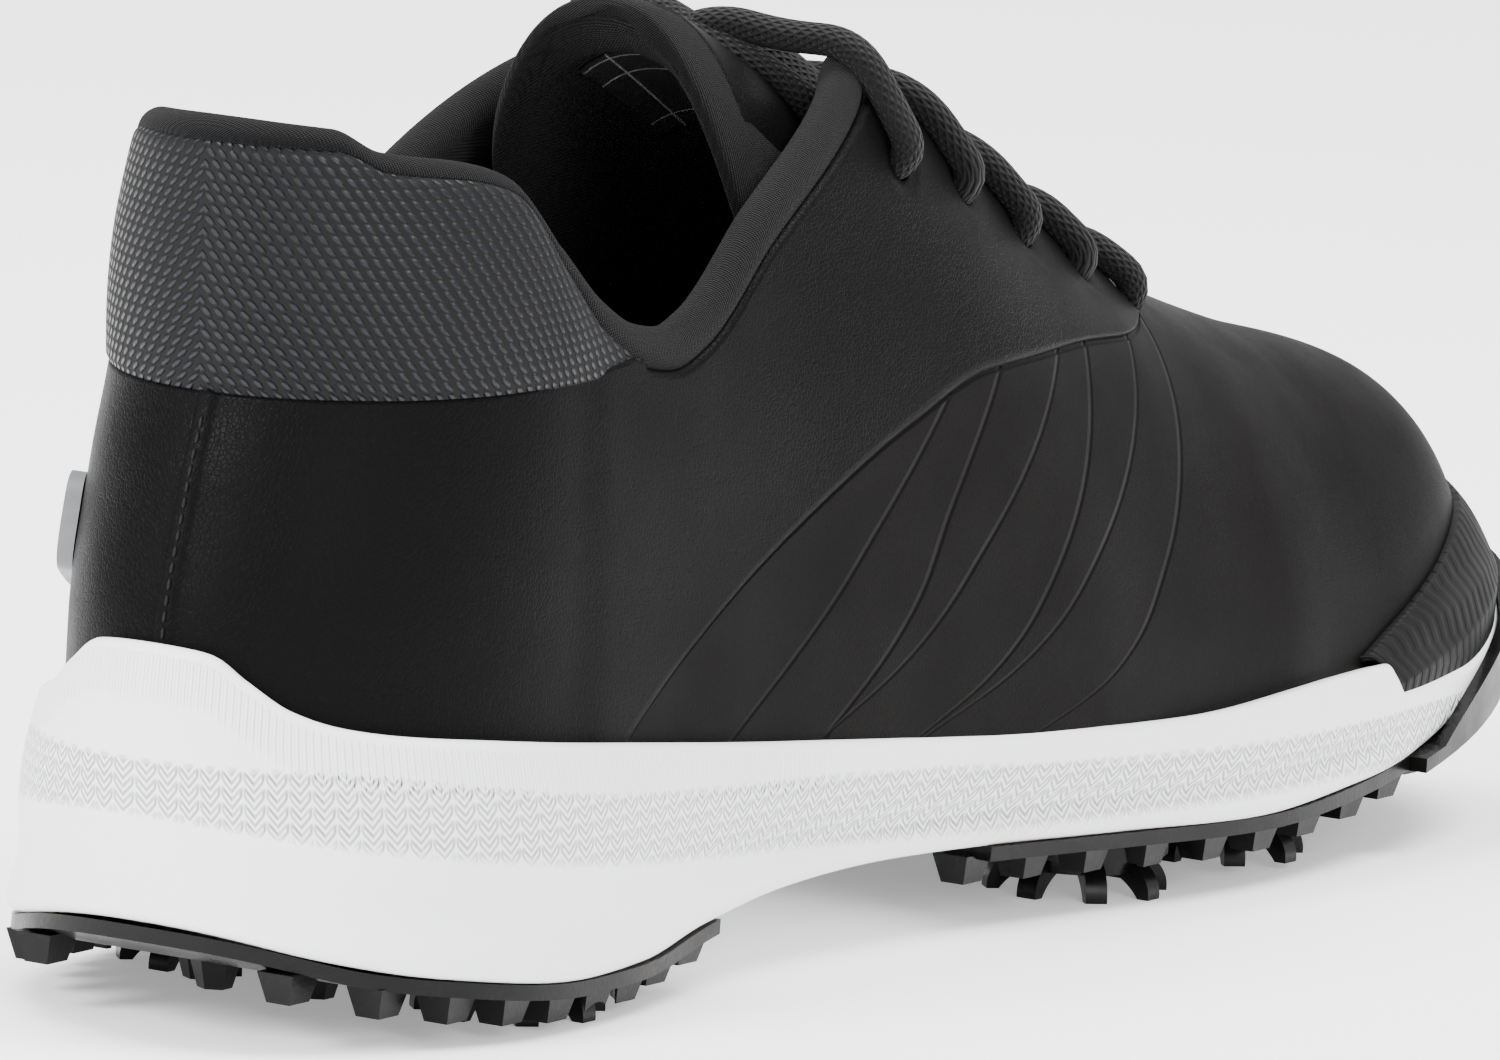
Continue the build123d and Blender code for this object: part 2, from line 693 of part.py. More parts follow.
# ---- soft cleats -------------------------------------------------------------
def cleat(x, y, seat):
    """One cleat: a disc, a stem for the socket and eight legs that curve outwards."""
    with BuildPart() as body:
        with BuildSketch(Plane(at(x, y, seat - SEAT_GAP), z_dir=(0, 0, -1))):
            Circle(CLEAT_RADIUS * 0.74)
        extrude(amount=DISC)
        with BuildSketch(Plane(at(x, y, seat - SEAT_GAP), z_dir=(0, 0, 1))):
            Circle(STEM_RADIUS)
        extrude(amount=STEM_LENGTH)
        for k in range(LEGS):
            leg_plane = Plane(at(x, y, seat), x_dir=(cos(2 * pi * k / LEGS), sin(2 * pi * k / LEGS), 0),
                              z_dir=(sin(2 * pi * k / LEGS), -cos(2 * pi * k / LEGS), 0))
            with BuildSketch(leg_plane):
                with BuildLine():
                    root_top = (CLEAT_RADIUS * 0.66, -0.5)
                    outer_tip = (CLEAT_RADIUS, -CLEAT_HEIGHT)
                    inner_tip = (CLEAT_RADIUS - 1.7, -CLEAT_HEIGHT)
                    root_low = (CLEAT_RADIUS * 0.42, -DISC)
                    ThreePointArc(root_top, (CLEAT_RADIUS * 0.93, -CLEAT_HEIGHT * 0.42), outer_tip)
                    Line(outer_tip, inner_tip)
                    ThreePointArc(inner_tip, (CLEAT_RADIUS * 0.72, -CLEAT_HEIGHT * 0.66), root_low)
                    Line(root_low, root_top)
                make_face()
            extrude(amount=LEG_WIDTH / 2, both=True)
    return body


for number, place in enumerate(CLEAT_SEATS, start=1):
    save(cleat(*place), f"cleat_{number}")

# ---- ornament on the outer heel ----------------------------------------------
with BuildPart() as heel_badge:
    with BuildSketch(Plane(at(32, 20, 57), x_dir=(1, 0, 0), z_dir=(0, 1, 0))):
        SlotOverall(30, 13, rotation=24)
    extrude(amount=30)
    add(upper_solid(-BADGE_THICK), mode=Mode.INTERSECT)
    add(outer_form, mode=Mode.SUBTRACT)
save(heel_badge, "heel_badge")
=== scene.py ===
"""Golf shoe for the left foot: leather upper, knitted ankle band, padded tongue, round lace,
white foam midsole and a black outsole with soft cleats. One operator makes each piece."""
from functools import partial
from math import acos, asin, copysign, cos, pi, radians, sin, sqrt

import bmesh
import bpy
from bpy.props import FloatProperty, PointerProperty
from mathutils import Matrix, Vector


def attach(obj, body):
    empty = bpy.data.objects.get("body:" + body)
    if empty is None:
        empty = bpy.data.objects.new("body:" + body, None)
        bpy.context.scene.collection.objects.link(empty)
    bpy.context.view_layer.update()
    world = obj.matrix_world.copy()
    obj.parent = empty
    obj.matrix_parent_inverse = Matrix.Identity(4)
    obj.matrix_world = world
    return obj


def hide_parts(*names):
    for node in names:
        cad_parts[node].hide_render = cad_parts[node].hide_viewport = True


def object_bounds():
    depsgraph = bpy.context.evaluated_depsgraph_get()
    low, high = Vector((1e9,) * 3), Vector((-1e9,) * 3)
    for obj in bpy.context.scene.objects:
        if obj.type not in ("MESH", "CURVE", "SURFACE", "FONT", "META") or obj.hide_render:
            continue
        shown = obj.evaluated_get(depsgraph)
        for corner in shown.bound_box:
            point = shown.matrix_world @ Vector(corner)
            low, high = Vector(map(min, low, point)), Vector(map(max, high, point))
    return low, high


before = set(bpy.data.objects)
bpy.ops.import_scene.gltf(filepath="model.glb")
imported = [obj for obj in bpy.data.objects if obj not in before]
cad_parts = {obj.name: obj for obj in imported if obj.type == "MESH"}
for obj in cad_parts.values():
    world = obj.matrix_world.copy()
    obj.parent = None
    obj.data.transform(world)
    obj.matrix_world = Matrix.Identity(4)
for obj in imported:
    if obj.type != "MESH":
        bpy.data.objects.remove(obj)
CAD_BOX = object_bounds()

bl_info = {
    "name": "Golf Shoe",
    "version": (1, 0, 0),
    "blender": (4, 5, 0),
    "location": "View3D > Sidebar > Golf Shoe",
    "description": "Builds a golf shoe piece by piece on its packed frame",
    "category": "Object",
}

MM = 0.001
HEEL_X = CAD_BOX[0][0] - 0.2 * MM       # where lengths from the heel start, just behind the foam
SHIFT_Y = -4.0 * MM                     # where the shoe's own middle line lies in the frame

# ---- form of the shoe, in millimetres from the back of the heel ----


def clamp(value, low=0.0, high=1.0):
    return min(max(value, low), high)


def curve(points):
    """A smooth function through a few points, without overshoot."""
    xs, ys = zip(*points)
    last = len(xs) - 1
    slopes = [(ys[i + 1] - ys[i]) / (xs[i + 1] - xs[i]) for i in range(last)]
    tangents = [slopes[0]]
    for before, after in zip(slopes, slopes[1:]):
        same_way = before * after > 0
        tangents.append(2 * before * after / (before + after) if same_way else 0.0)
    tangents.append(slopes[-1])

    def value(x):
        x = clamp(x, xs[0], xs[-1])
        i = 0
        while i < last - 1 and x > xs[i + 1]:
            i += 1
        step = xs[i + 1] - xs[i]
        t = (x - xs[i]) / step
        rise = ys[i] * (1 + 2 * t) * (1 - t) ** 2 + ys[i + 1] * t * t * (3 - 2 * t)
        bend = tangents[i] * t * (1 - t) ** 2 + tangents[i + 1] * t * t * (t - 1)
        return rise + step * bend

    return value


ridge = curve([(60, 150), (85, 144), (110, 136), (132, 126), (172, 103), (213, 82),
               (245, 71.5), (272, 65), (288, 55), (296, 42)])
heel_back = curve([(18, 1.5), (36, 3), (50, 3), (70, 7), (86, 11), (103, 11), (118, 9), (130, 7)])
medial = curve([(0, 29), (48, 32.5), (90, 34), (130, 38), (172, 42.5), (213, 43), (245, 39), (296, 38)])
lateral = curve([(0, 29), (48, 33), (90, 36.5), (130, 42), (172, 46), (213, 50), (245, 47.5), (296, 45)])
middle = curve([(0, 0), (150, 0), (213, -2), (260, -5), (296, -7)])
wall_power = curve([(0, 3.0), (90, 3.0), (132, 2.9), (172, 2.3), (213, 2.1), (296, 2.1)])
crown_power = curve([(0, 2.2), (90, 2.2), (132, 2.1), (172, 1.9), (213, 1.9), (250, 2.2), (296, 2.4)])
feather = curve([(0, 24), (60, 24), (120, 22), (200, 19), (240, 19.5), (261, 22.5), (280, 28), (296, 35)])
sole_medial = curve([(0, 38), (48, 39.5), (80, 36), (110, 34), (140, 36), (175, 42), (205, 46.2),
                     (234, 44.8), (261, 40.5), (301, 41)])
sole_lateral = curve([(0, 38), (48, 40), (90, 40), (120, 40), (150, 44.5), (180, 51), (210, 56),
                      (240, 54.5), (268, 48.5), (301, 42)])
tread = curve([(0, 15), (8, 12), (22, 9.3), (50, 6.8), (64, 6.9), (82, 9.2), (104, 11.2), (127, 12),
               (150, 11.6), (175, 11), (205, 10.4), (230, 12), (249, 14.2), (270, 18.5), (288, 24.5),
               (303, 33)])
collar = curve([(-5, 117), (9, 116.5), (15, 113.8), (29, 112.5), (38, 110.5), (48, 102), (57, 93.5),
                (66, 89), (73, 88), (80, 90), (98, 102.5), (118, 113), (136, 121), (160, 135)])
mesh_edge = curve([(-5, 82), (28, 82.5), (48, 83.5), (62, 85), (78, 88.5), (90, 92)])
fan_edge = curve([(50, 20), (63, 35), (77, 46), (100, 59.5), (125, 71), (145, 76.5), (170, 77),
                  (200, 75.5), (230, 77)])
bumper_top = curve([(236, 26.5), (250, 31.5), (265, 37), (282, 43), (304, 47)])
lip_line = curve([(0, 51), (1.4, 50.3), (3.2, 47.5), (6.8, 43.6), (11.4, 41.6), (18, 40.4), (32, 39),
                  (56, 36.4), (99, 31.7), (144, 28), (187, 26.2), (225, 27.8), (238, 27.8), (241, 23.8),
                  (262, 24.6), (280, 28), (292, 32), (303, 36)])
band_top = curve([(0, 36.6), (8, 36.7), (24, 34.8), (51, 31), (76, 28.7), (123, 25.9), (166, 22.9),
                  (198, 21.9), (238, 21.5), (262, 21), (303, 31)])
band_low = curve([(0, 28.5), (7, 26.6), (23, 24.1), (50, 20.9), (91, 16.9), (128, 14.4), (159, 13.1),
                  (238, 13.6), (262, 18), (303, 30)])
tongue_half = curve([(100, 21), (106, 22), (118, 25), (136, 27), (185, 22), (212, 18)])

TOE_FRONT = 296.0
TOE_ROUND = 235.0
HEEL_ROUND = 48.0
ROUNDNESS = 2.2
SOLE_FRONT = 301.5
SOLE_ROUND = 240.0
LIP_OUT = 3.4               # how far the foam's lip stands out from the leather
ROLL = 5.0                  # how far the leather ends below the collar's edge
SLOT_REAR, SLOT_FRONT = 100.0, 217.0
SLOT_REAR_HALF, SLOT_FRONT_HALF = 21.5, 10.0
SLOT_CENTRE = -1.0
SLOT_TIP = 9.0              # length of the rounded front end of the throat
HEEL_ARC = HEEL_ROUND * pi / 2
TOE_ARC = (TOE_FRONT - TOE_ROUND) * pi / 2
FRONT_ARC = HEEL_ARC + TOE_ROUND - HEEL_ROUND + TOE_ARC
TOE_START = FRONT_ARC - TOE_ARC
SOLE_TOE_ARC = (SOLE_FRONT - SOLE_ROUND) * pi / 2
SOLE_ARC = HEEL_ARC + SOLE_ROUND - HEEL_ROUND + SOLE_TOE_ARC
SOLE_TOE_START = SOLE_ARC - SOLE_TOE_ARC
EYELET_X = [206.0, 189.0, 170.5, 151.5, 132.0]
EYELET_INSET = 8.0
LACE = 4.4
LACE_OVER = 2.7             # height of its middle over the leather
LACE_UNDER = 6.3            # and its depth under it
MEDIAL, LATERAL = -1, 1


def mix(a, b, t):
    return a + (b - a) * t


def smooth(t):
    """0 below 0, 1 above 1, with soft ends."""
    t = clamp(t)
    return t * t * (3 - 2 * t)


def placed(x, y, z):
    """Millimetres from the heel to metres in the frame."""
    return Vector((HEEL_X + x * MM, SHIFT_Y + y * MM, z * MM))


def rounding(share):
    """Width left when a share of the way round an end has been gone."""
    return max(1 - share ** ROUNDNESS, 0.0) ** (1 / ROUNDNESS)


def way(x):
    """Distance round the plan outline of the upper at a distance from the heel."""
    if x < HEEL_ROUND:
        return HEEL_ROUND * acos(clamp(1 - x / HEEL_ROUND, -1.0))
    if x > TOE_ROUND:
        return TOE_START + (TOE_FRONT - TOE_ROUND) * asin((x - TOE_ROUND) / (TOE_FRONT - TOE_ROUND))
    return HEEL_ARC + x - HEEL_ROUND


def level_at(x, z):
    """Angle over the section at which the upper has a height."""
    rise = clamp((z - feather(x)) / (ridge(x) - feather(x)))
    return asin(rise ** (wall_power(x) / 2))


def half_width(side, x):
    return medial(x) if side == MEDIAL else lateral(x)


def level_beside(x, reach, side):
    """Angle over the section at a distance from the middle."""
    return acos(min(reach / half_width(side, x), 1.0) ** (crown_power(x) / 2))


def toe_share(around):
    """How far round the toe a place on the plan outline lies, from 0 to 1."""
    return sin(min((around - TOE_START) / (TOE_FRONT - TOE_ROUND), pi / 2)) if around > TOE_START else 0.0


def x_of(around):
    """Distance from the heel of a place on the plan outline, with a straight-sided heel."""
    if around < HEEL_ARC:
        return HEEL_ROUND * (1 - cos(around / HEEL_ROUND))
    if around > TOE_START:
        return mix(TOE_ROUND, TOE_FRONT, toe_share(around))
    return HEEL_ROUND + around - HEEL_ARC


def on_upper(side, around, level):
    """A point of the upper's outer face, in millimetres."""
    x = x_of(around)
    z = feather(x) + (ridge(x) - feather(x)) * max(sin(level), 0.0) ** (2 / wall_power(x))
    half = half_width(side, x) * rounding(toe_share(around))
    if around < HEEL_ARC:
        heel_turn = cos(around / HEEL_ROUND)
        half *= rounding(heel_turn)
        x = mix(heel_back(z), HEEL_ROUND, 1 - heel_turn)
    y = middle(x) + side * half * max(cos(level), 0.0) ** (2 / crown_power(x))
    return Vector((x, y, z))


def rounded_end(share):
    """Thickness near a rounded end: 0 at its tip, 1 from a share of 1 on."""
    return sqrt(max(1 - (1 - clamp(share)) ** 2, 0.0))


def climb(side, around, level, reach):
    """From a little below to a little above a point, along its section."""
    above, below = min(level + reach, pi / 2), max(level - reach, 0.0)
    return on_upper(side, around, above) - on_upper(side, around, below)


def upper_frame(side, around, level):
    """A point of the upper and its outward direction."""
    here = on_upper(side, around, level)
    ahead, behind = min(around + 0.4, FRONT_ARC), max(around - 0.4, 0.0)
    along = on_upper(side, ahead, level) - on_upper(side, behind, level)
    up = climb(side, around, level, 0.012)
    out = along.cross(up) * -side
    if out.length < 1e-6:       # where the section closes at the heel or the toe
        out = Vector((1.0 if around > 150 else -1.0, 0, 0))
    return here, out.normalized()


def crown(x, y):
    """Height of the upper over a point of the plan."""
    offset = y - middle(x)
    reach = lateral(x) if offset > 0 else medial(x)
    arch = min(abs(offset) / reach, 1.0)
    rise = (1 - arch ** crown_power(x)) ** (1 / wall_power(x))
    return feather(x) + rise * (ridge(x) - feather(x))


def outward(x, y):
    """The direction that the upper faces over a point of the plan."""
    step = 0.5
    slope_x = (crown(x + step, y) - crown(x - step, y)) / (2 * step)
    slope_y = (crown(x, y + step) - crown(x, y - step)) / (2 * step)
    return Vector((-slope_x, -slope_y, 1)).normalized()


def off_surface(x, y, height):
    """A point above or below the upper's outer face, in millimetres."""
    return Vector((x, y, crown(x, y))) + outward(x, y) * height


def slot_half(x):
    """Half the width of the throat."""
    along = (x - SLOT_REAR) / (SLOT_FRONT - SLOT_REAR)
    half = mix(SLOT_REAR_HALF, SLOT_FRONT_HALF, along)
    closing_from = SLOT_FRONT - SLOT_TIP
    if x > closing_from:
        half *= sqrt(max(1 - ((x - closing_from) / SLOT_TIP) ** 2, 0.0))
    return half


def on_sole(side, around, z, grow):
    """A point of the foam's side at a height, moved outwards by grow."""
    share = heel_turn = 0.0
    if around < HEEL_ARC:
        heel_turn = cos(around / HEEL_ROUND)
        x = mix(0.2 - grow, HEEL_ROUND, 1 - heel_turn)
    elif around > SOLE_TOE_START:
        share = sin(min((around - SOLE_TOE_START) / (SOLE_FRONT - SOLE_ROUND), pi / 2))
        x = mix(SOLE_ROUND, SOLE_FRONT + grow, share)
    else:
        x = HEEL_ROUND + around - HEEL_ARC
    base = sole_medial(x) if side == MEDIAL else sole_lateral(x)
    half = mix(base, half_width(side, x) + LIP_OUT, clamp((z - 10.0) / 30.0)) + grow
    half *= rounding(share) * rounding(heel_turn)
    return Vector((x, middle(x) + side * half, z))


# ---- meshes ----


def away_from(x, y, z):
    """A test of whether most faces look away from a point."""
    centre = placed(x, y, z)
    return lambda bm: sum((face.calc_center_median() - centre).dot(face.normal) * face.calc_area()
                          for face in bm.faces) >= 0


def top_looks_up(bm):
    return max(bm.faces, key=lambda face: face.calc_center_median().z).normal.z >= 0


OUTWARDS = away_from(150, 0, 45)


def join(bm, dist=0.03):
    bmesh.ops.remove_doubles(bm, verts=bm.verts, dist=dist * MM)


def close_ends(bm):
    join(bm)
    bmesh.ops.holes_fill(bm, edges=[edge for edge in bm.edges if edge.is_boundary], sides=0)


def finish_mesh(bm, name, slot, body="shoe", facing=None, solid=0.0):
    """Turn a bmesh into a finished piece that rides on a body."""
    bmesh.ops.recalc_face_normals(bm, faces=bm.faces)
    if facing and not facing(bm):
        bmesh.ops.reverse_faces(bm, faces=bm.faces)
    mesh = bpy.data.meshes.new(name)
    bm.to_mesh(mesh)
    bm.free()
    mesh.shade_smooth()
    piece = bpy.data.objects.new(name, mesh)
    bpy.context.scene.collection.objects.link(piece)
    if solid:
        wall = piece.modifiers.new("Wall", "SOLIDIFY")
        wall.thickness = solid * MM
        wall.offset = -1
    mesh.materials.append(finish(slot))
    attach(piece, body)
    return piece


def draped(columns, rows, place, bm=None, charts=None):
    """A grid whose corners (u, v) from 0 to 1 are laid out by place(u, v), with its lengths as UV."""
    own = bmesh.new() if bm is None else bm
    made = bmesh.ops.create_grid(own, x_segments=columns, y_segments=rows, size=0.5)["verts"]
    corners = {vert: (vert.co.x + 0.5, vert.co.y + 0.5) for vert in made}
    table = {}
    for vert, (u, v) in corners.items():
        vert.co = placed(*place(u, v))
        table[(round(u * columns), round(v * rows))] = vert.co
    run, climb = [0.0], {}
    for i in range(columns + 1):
        if i:
            run.append(run[-1] + (table[(i, rows // 2)] - table[(i - 1, rows // 2)]).length)
        climb[(i, 0)] = 0.0
        for j in range(1, rows + 1):
            climb[(i, j)] = climb[(i, j - 1)] + (table[(i, j)] - table[(i, j - 1)]).length

    def lengths(u, v):
        i = round(u * columns)
        return run[i], climb[(i, round(v * rows))]

    for name, chart in {"lengths": lengths, **(charts or {})}.items():
        layer = own.loops.layers.uv.get(name) or own.loops.layers.uv.new(name)
        for vert, corner in corners.items():
            for loop in vert.link_loops:
                loop[layer].uv = chart(*corner)
    return own


def steps(start, end, pitch, fine=()):
    """Stations from start to end, closer together inside the fine zones (from, to, pitch)."""
    stations = [start]
    while stations[-1] < end - 1e-6:
        here = stations[-1]
        near = [f[2] for f in fine if f[0] - 1e-6 <= here < f[1]]
        stations.append(min(here + min(near + [pitch]), end))
    if stations[-1] - stations[-2] < 0.2 * pitch and len(stations) > 2:
        del stations[-2]
    return stations


def shares(count):
    return [i / count for i in range(count + 1)]


def laid(stations, rows, place, bm=None, charts=None):
    """A grid over stations and rows, placed by place(station, row)."""
    columns, lines = len(stations) - 1, len(rows) - 1

    def at_corner(work):
        return lambda u, v: work(stations[round(u * columns)], rows[round(v * lines)])

    charts = {name: at_corner(chart) for name, chart in (charts or {}).items()}
    return draped(columns, lines, at_corner(place), bm, charts)


def both_sides(stations, rows, place, charts=None, seam=0.03):
    """The grid of place(side, station, row) on the medial and on the lateral side, joined."""
    bm = bmesh.new()
    for side in (MEDIAL, LATERAL):
        laid(stations, rows, partial(place, side), bm, charts)
    join(bm, seam)
    return bm


# ---- finishes ----

ROW_HEIGHT, LINK_LENGTH = 0.00145, 0.0018          # one link of the knit
RIB_PITCH = 0.0012                                 # ribs under the foam's lip
CHEVRON_WIDTH, CHEVRON_RISE = 0.0036, 0.0021
BAR_PITCH, BAR_TURN = 0.0026, 0.0075               # slanting bars of the rand
STRAND_PITCH, STRANDS = 0.0019, 12                 # braid of the lace
LABEL_RULES_ACROSS = (0.0012, 0.0078, 0.0142, 0.0208)
LABEL_RULES_ALONG = (0.0012, 0.0065, 0.0205)


class Wiring:
    """Short calls for the nodes of one material. Lengths are in metres."""

    def __init__(self, name):
        self.material = bpy.data.materials.new(name)
        self.material.use_nodes = True
        self.tree = self.material.node_tree
        self.tree.nodes.clear()
        out = self.tree.nodes.new("ShaderNodeOutputMaterial")
        self.shader = self.tree.nodes.new("ShaderNodeBsdfPrincipled")
        self.tree.links.new(self.shader.outputs[0], out.inputs["Surface"])

    def plug(self, node, values):
        """Link or set a node's inputs, by their names or numbers."""
        for key, value in values.items():
            if hasattr(value, "is_output"):
                self.tree.links.new(value, node.inputs[key])
            else:
                node.inputs[key].default_value = value

    def add(self, kind, values, **properties):
        node = self.tree.nodes.new("ShaderNode" + kind)
        for key, value in properties.items():
            setattr(node, key, value)
        self.plug(node, values)
        return node

    def surface(self, values):
        self.plug(self.shader, values)

    def math(self, operation, *values):
        return self.add("Math", dict(enumerate(values)), operation=operation).outputs[0]

    def times(self, a, b):
        return self.math("MULTIPLY", a, b)

    def plus(self, a, b):
        return self.math("ADD", a, b)

    def gap(self, a, b):
        """How far apart two values are."""
        return self.math("ABSOLUTE", self.math("SUBTRACT", a, b))

    def wave(self, value, factor):
        return self.math("SINE", self.times(value, factor))

    def coords(self):
        return self.add("TexCoord", {}).outputs["Object"]

    def chart(self, name="lengths"):
        """The two coordinates of one of a piece's charts."""
        return self.split(self.add("UVMap", {}, uv_map=name).outputs[0])[:2]

    def split(self, vector):
        return self.add("SeparateXYZ", {0: vector}).outputs

    def noise(self, vector, scale, detail=3.0, rough=0.5):
        values = {"Vector": vector, "Scale": scale, "Detail": detail, "Roughness": rough}
        return self.add("TexNoise", values).outputs[0]

    def seams(self, vector, scale, width):
        """0 along the borders of random cells, 1 inside them."""
        cells = self.add("TexVoronoi", {"Vector": vector, "Scale": scale}, feature="DISTANCE_TO_EDGE")
        return self.ramp(cells.outputs[0], 0.0, width)

    def ramp(self, value, low, high, out_low=0.0, out_high=1.0, soft=True):
        values = {"Value": value, "From Min": low, "From Max": high, "To Min": out_low, "To Max": out_high}
        kind = "SMOOTHSTEP" if soft else "LINEAR"
        return self.add("MapRange", values, interpolation_type=kind).outputs[0]

    def colour_mix(self, share, first, second):
        values = {0: share, 6: (*first, 1.0), 7: (*second, 1.0)}
        return self.add("Mix", values, data_type="RGBA").outputs[2]

    def shades(self, share, colour, dark, light):
        """From a darker to a lighter shade of one colour."""
        return self.colour_mix(share, [c * dark for c in colour], [c * light for c in colour])

    def bump(self, height, distance, strength=1.0, below=None):
        values = {"Strength": strength, "Distance": distance, "Height": height}
        if below is not None:
            values["Normal"] = below
        return self.add("Bump", values).outputs[0]

    def line_through(self, points, high):
        """x as a smooth function of height, for a line drawn on the side."""
        height = self.ramp(self.split(self.coords())[2], 0.0, high, soft=False)
        node = self.add("FloatCurve", {"Value": height})
        line = node.mapping.curves[0]
        spots = [(z * MM / high, (HEEL_X + x * MM - LINE_LOW) / (LINE_HIGH - LINE_LOW)) for x, z in points]
        line.points[0].location, line.points[1].location = spots[0], spots[-1]
        for spot in spots[1:-1]:
            line.points.new(*spot)
        node.mapping.update()
        return self.ramp(node.outputs[0], 0.0, 1.0, LINE_LOW, LINE_HIGH, soft=False)


LINE_LOW, LINE_HIGH = -0.13, 0.09       # the x range, in metres, that the pressed lines lie in
FAN_LINES = [
    [(88, 33.5), (106, 47), (118, 58.5), (133, 73)],
    [(110, 33), (125, 46), (134, 60), (146, 75)],
    [(111, 33), (127, 41.5), (142, 54.5), (164, 75.5)],
    [(132, 31), (144, 37), (156, 48), (174, 75)],
    [(133, 30.5), (152, 38.5), (167, 50), (190, 73.5)],
    [(158, 29), (172, 35), (184, 47), (193, 59.5), (201, 73)],
]


def leather(net, colour, grain, gloss, fan=False):
    """Black coated leather: fine pebbles, faint folds, satin shine, and creases or the pressed fan."""
    where = net.coords()
    skin = net.bump(net.seams(where, 1500.0 * grain, 0.12), 0.00006 * grain ** -0.5, 0.55)
    skin = net.bump(net.noise(where, 900.0, 3.0, 0.6), 0.00008, 0.35, skin)
    skin = net.bump(net.noise(where, 70.0, 2.0, 0.4), 0.0012, 0.16, skin)
    x = net.split(where)[0]
    if fan:
        height = 1.0
        for line in FAN_LINES:
            pressed = net.ramp(net.gap(x, net.line_through(line, 0.1)), 0.0, 0.00095)
            height = net.math("MINIMUM", height, pressed)
        skin = net.bump(height, 0.0006, 0.6, skin)
    else:
        heel = net.ramp(x, HEEL_X + 0.012, HEEL_X + 0.10, 1.0, 0.0)
        skin = net.bump(net.times(net.seams(where, 420.0, 0.09), heel), 0.00006, 0.3, skin)
    net.surface({
        "Base Color": net.shades(net.noise(where, 26.0, 4.0, 0.55), colour, 0.78, 1.3),
        "Roughness": net.ramp(net.noise(where, 60.0), 0.3, 0.7, gloss - 0.05, gloss + 0.07, soft=False),
        "Specular IOR Level": 0.035,
        "Normal": skin,
    })


def knit(net, colour):
    """Glossy chain knit: slanted links in rows, set off by half a link, with painted shade between them and
    the links painted lighter.
    """
    u, v = net.chart()
    rows = net.times(v, 1 / ROW_HEIGHT)
    along = net.plus(net.times(u, 1 / LINK_LENGTH), net.times(net.math("FLOOR", rows), 0.5))
    beside = net.plus(net.math("FRACT", along), -0.5)
    above = net.plus(net.math("FRACT", rows), -0.5)
    slant = net.plus(net.times(beside, 1.25), net.times(above, 0.8))
    height = net.times(above, 0.85)
    far = net.math("SQRT", net.plus(net.times(slant, slant), net.times(height, height)))
    link = net.ramp(far, 0.20, 0.50, 1.0, 0.0)
    net.surface({
        # painted relief shade: the base colour goes near black in the gaps between the links and lighter on
        # the links
        "Base Color": net.shades(link, colour, 0.08, 1.9),
        "Roughness": net.ramp(link, 0.0, 1.0, 0.75, 0.36),
        "Specular IOR Level": 0.22,
        "Normal": net.bump(net.noise(net.coords(), 4200.0, 2.0), 0.0001, 0.4, net.bump(link, 0.00055)),
    })


def cloth(net, colour, pitch=0.0007):
    """Soft fine-ribbed lining cloth, with painted shade in the low parts of its weave and its high parts
    painted lighter.
    """
    where = net.coords()
    x, y, z = net.split(where)
    slant = net.times(y, 0.8)
    one = net.wave(net.plus(net.plus(x, slant), z), 2 * pi / pitch)
    two = net.wave(net.math("SUBTRACT", net.math("SUBTRACT", x, slant), z), 2 * pi / pitch)
    weave = net.times(one, two)
    net.surface({
        # painted relief shade: darker in the low parts of the weave, lighter on its high parts
        "Base Color": net.shades(net.ramp(weave, -1.0, 1.0, soft=False), colour, 0.55, 1.5),
        "Roughness": 0.86,
        "Specular IOR Level": 0.07,
        "Sheen Weight": 0.04,
        "Sheen Roughness": 0.5,
        "Normal": net.bump(net.noise(where, 2600.0), 0.0002, 0.5, net.bump(weave, 0.00022, 0.8)),
    })


def label_print(net, colour, ink):
    """Blank woven label with a few thin ruled lines."""
    cloth(net, colour, 0.0004)
    u, v = net.chart()
    lines = 0.0
    for where, places in ((v, LABEL_RULES_ACROSS), (u, LABEL_RULES_ALONG)):
        for at_length in places:
            line = net.ramp(net.gap(where, at_length), 0.00012, 0.00022, 1.0, 0.0)
            if at_length in LABEL_RULES_ACROSS[1:-1]:
                line = net.times(line, net.ramp(u, 0.0063, 0.0067, 1.0, 0.0))
            lines = net.math("MAXIMUM", lines, line)
    net.surface({"Base Color": net.colour_mix(lines, colour, ink)})


def white_foam(net, colour):
    """Moulded foam: ribs under the lip and a band of chevrons, drawn in the piece's own lengths."""
    u, down = net.chart("wall")
    along, across = net.chart("band")
    where = net.coords()
    under_lip = net.times(net.ramp(down, 0.0008, 0.0016), net.ramp(down, 0.0055, 0.0085, 1.0, 0.0))
    ribs = net.times(net.ramp(net.wave(u, 2 * pi / RIB_PITCH), -0.9, 0.6), under_lip)
    ribs = net.times(ribs, net.ramp(along, 0.32, 0.40, 1.0, 0.0))
    zig = net.math("PINGPONG", net.times(u, 1 / CHEVRON_WIDTH), 0.5)
    rows = net.times(net.split(where)[2], 1 / CHEVRON_RISE)
    wave = net.math("FRACT", net.plus(rows, net.times(zig, 1.7)))
    tooth = net.times(net.ramp(net.gap(wave, 0.5), 0.08, 0.42), net.ramp(zig, 0.0, 0.16))
    band = net.times(net.ramp(across, 0.0, 0.14), net.ramp(across, 0.80, 1.0, 1.0, 0.0))
    relief = net.bump(net.times(tooth, band), 0.0010, 1.0, net.bump(ribs, 0.00022, 0.9))
    net.surface({
        "Base Color": net.shades(net.noise(where, 14.0), colour, 0.975, 1.0),
        "Roughness": net.ramp(net.noise(where, 40.0), 0.3, 0.7, 0.42, 0.52),
        "Subsurface Weight": 0.08,
        "Subsurface Scale": 0.003,
        "Normal": net.bump(net.noise(where, 1400.0, 2.0), 0.00004, 0.4, relief),
    })


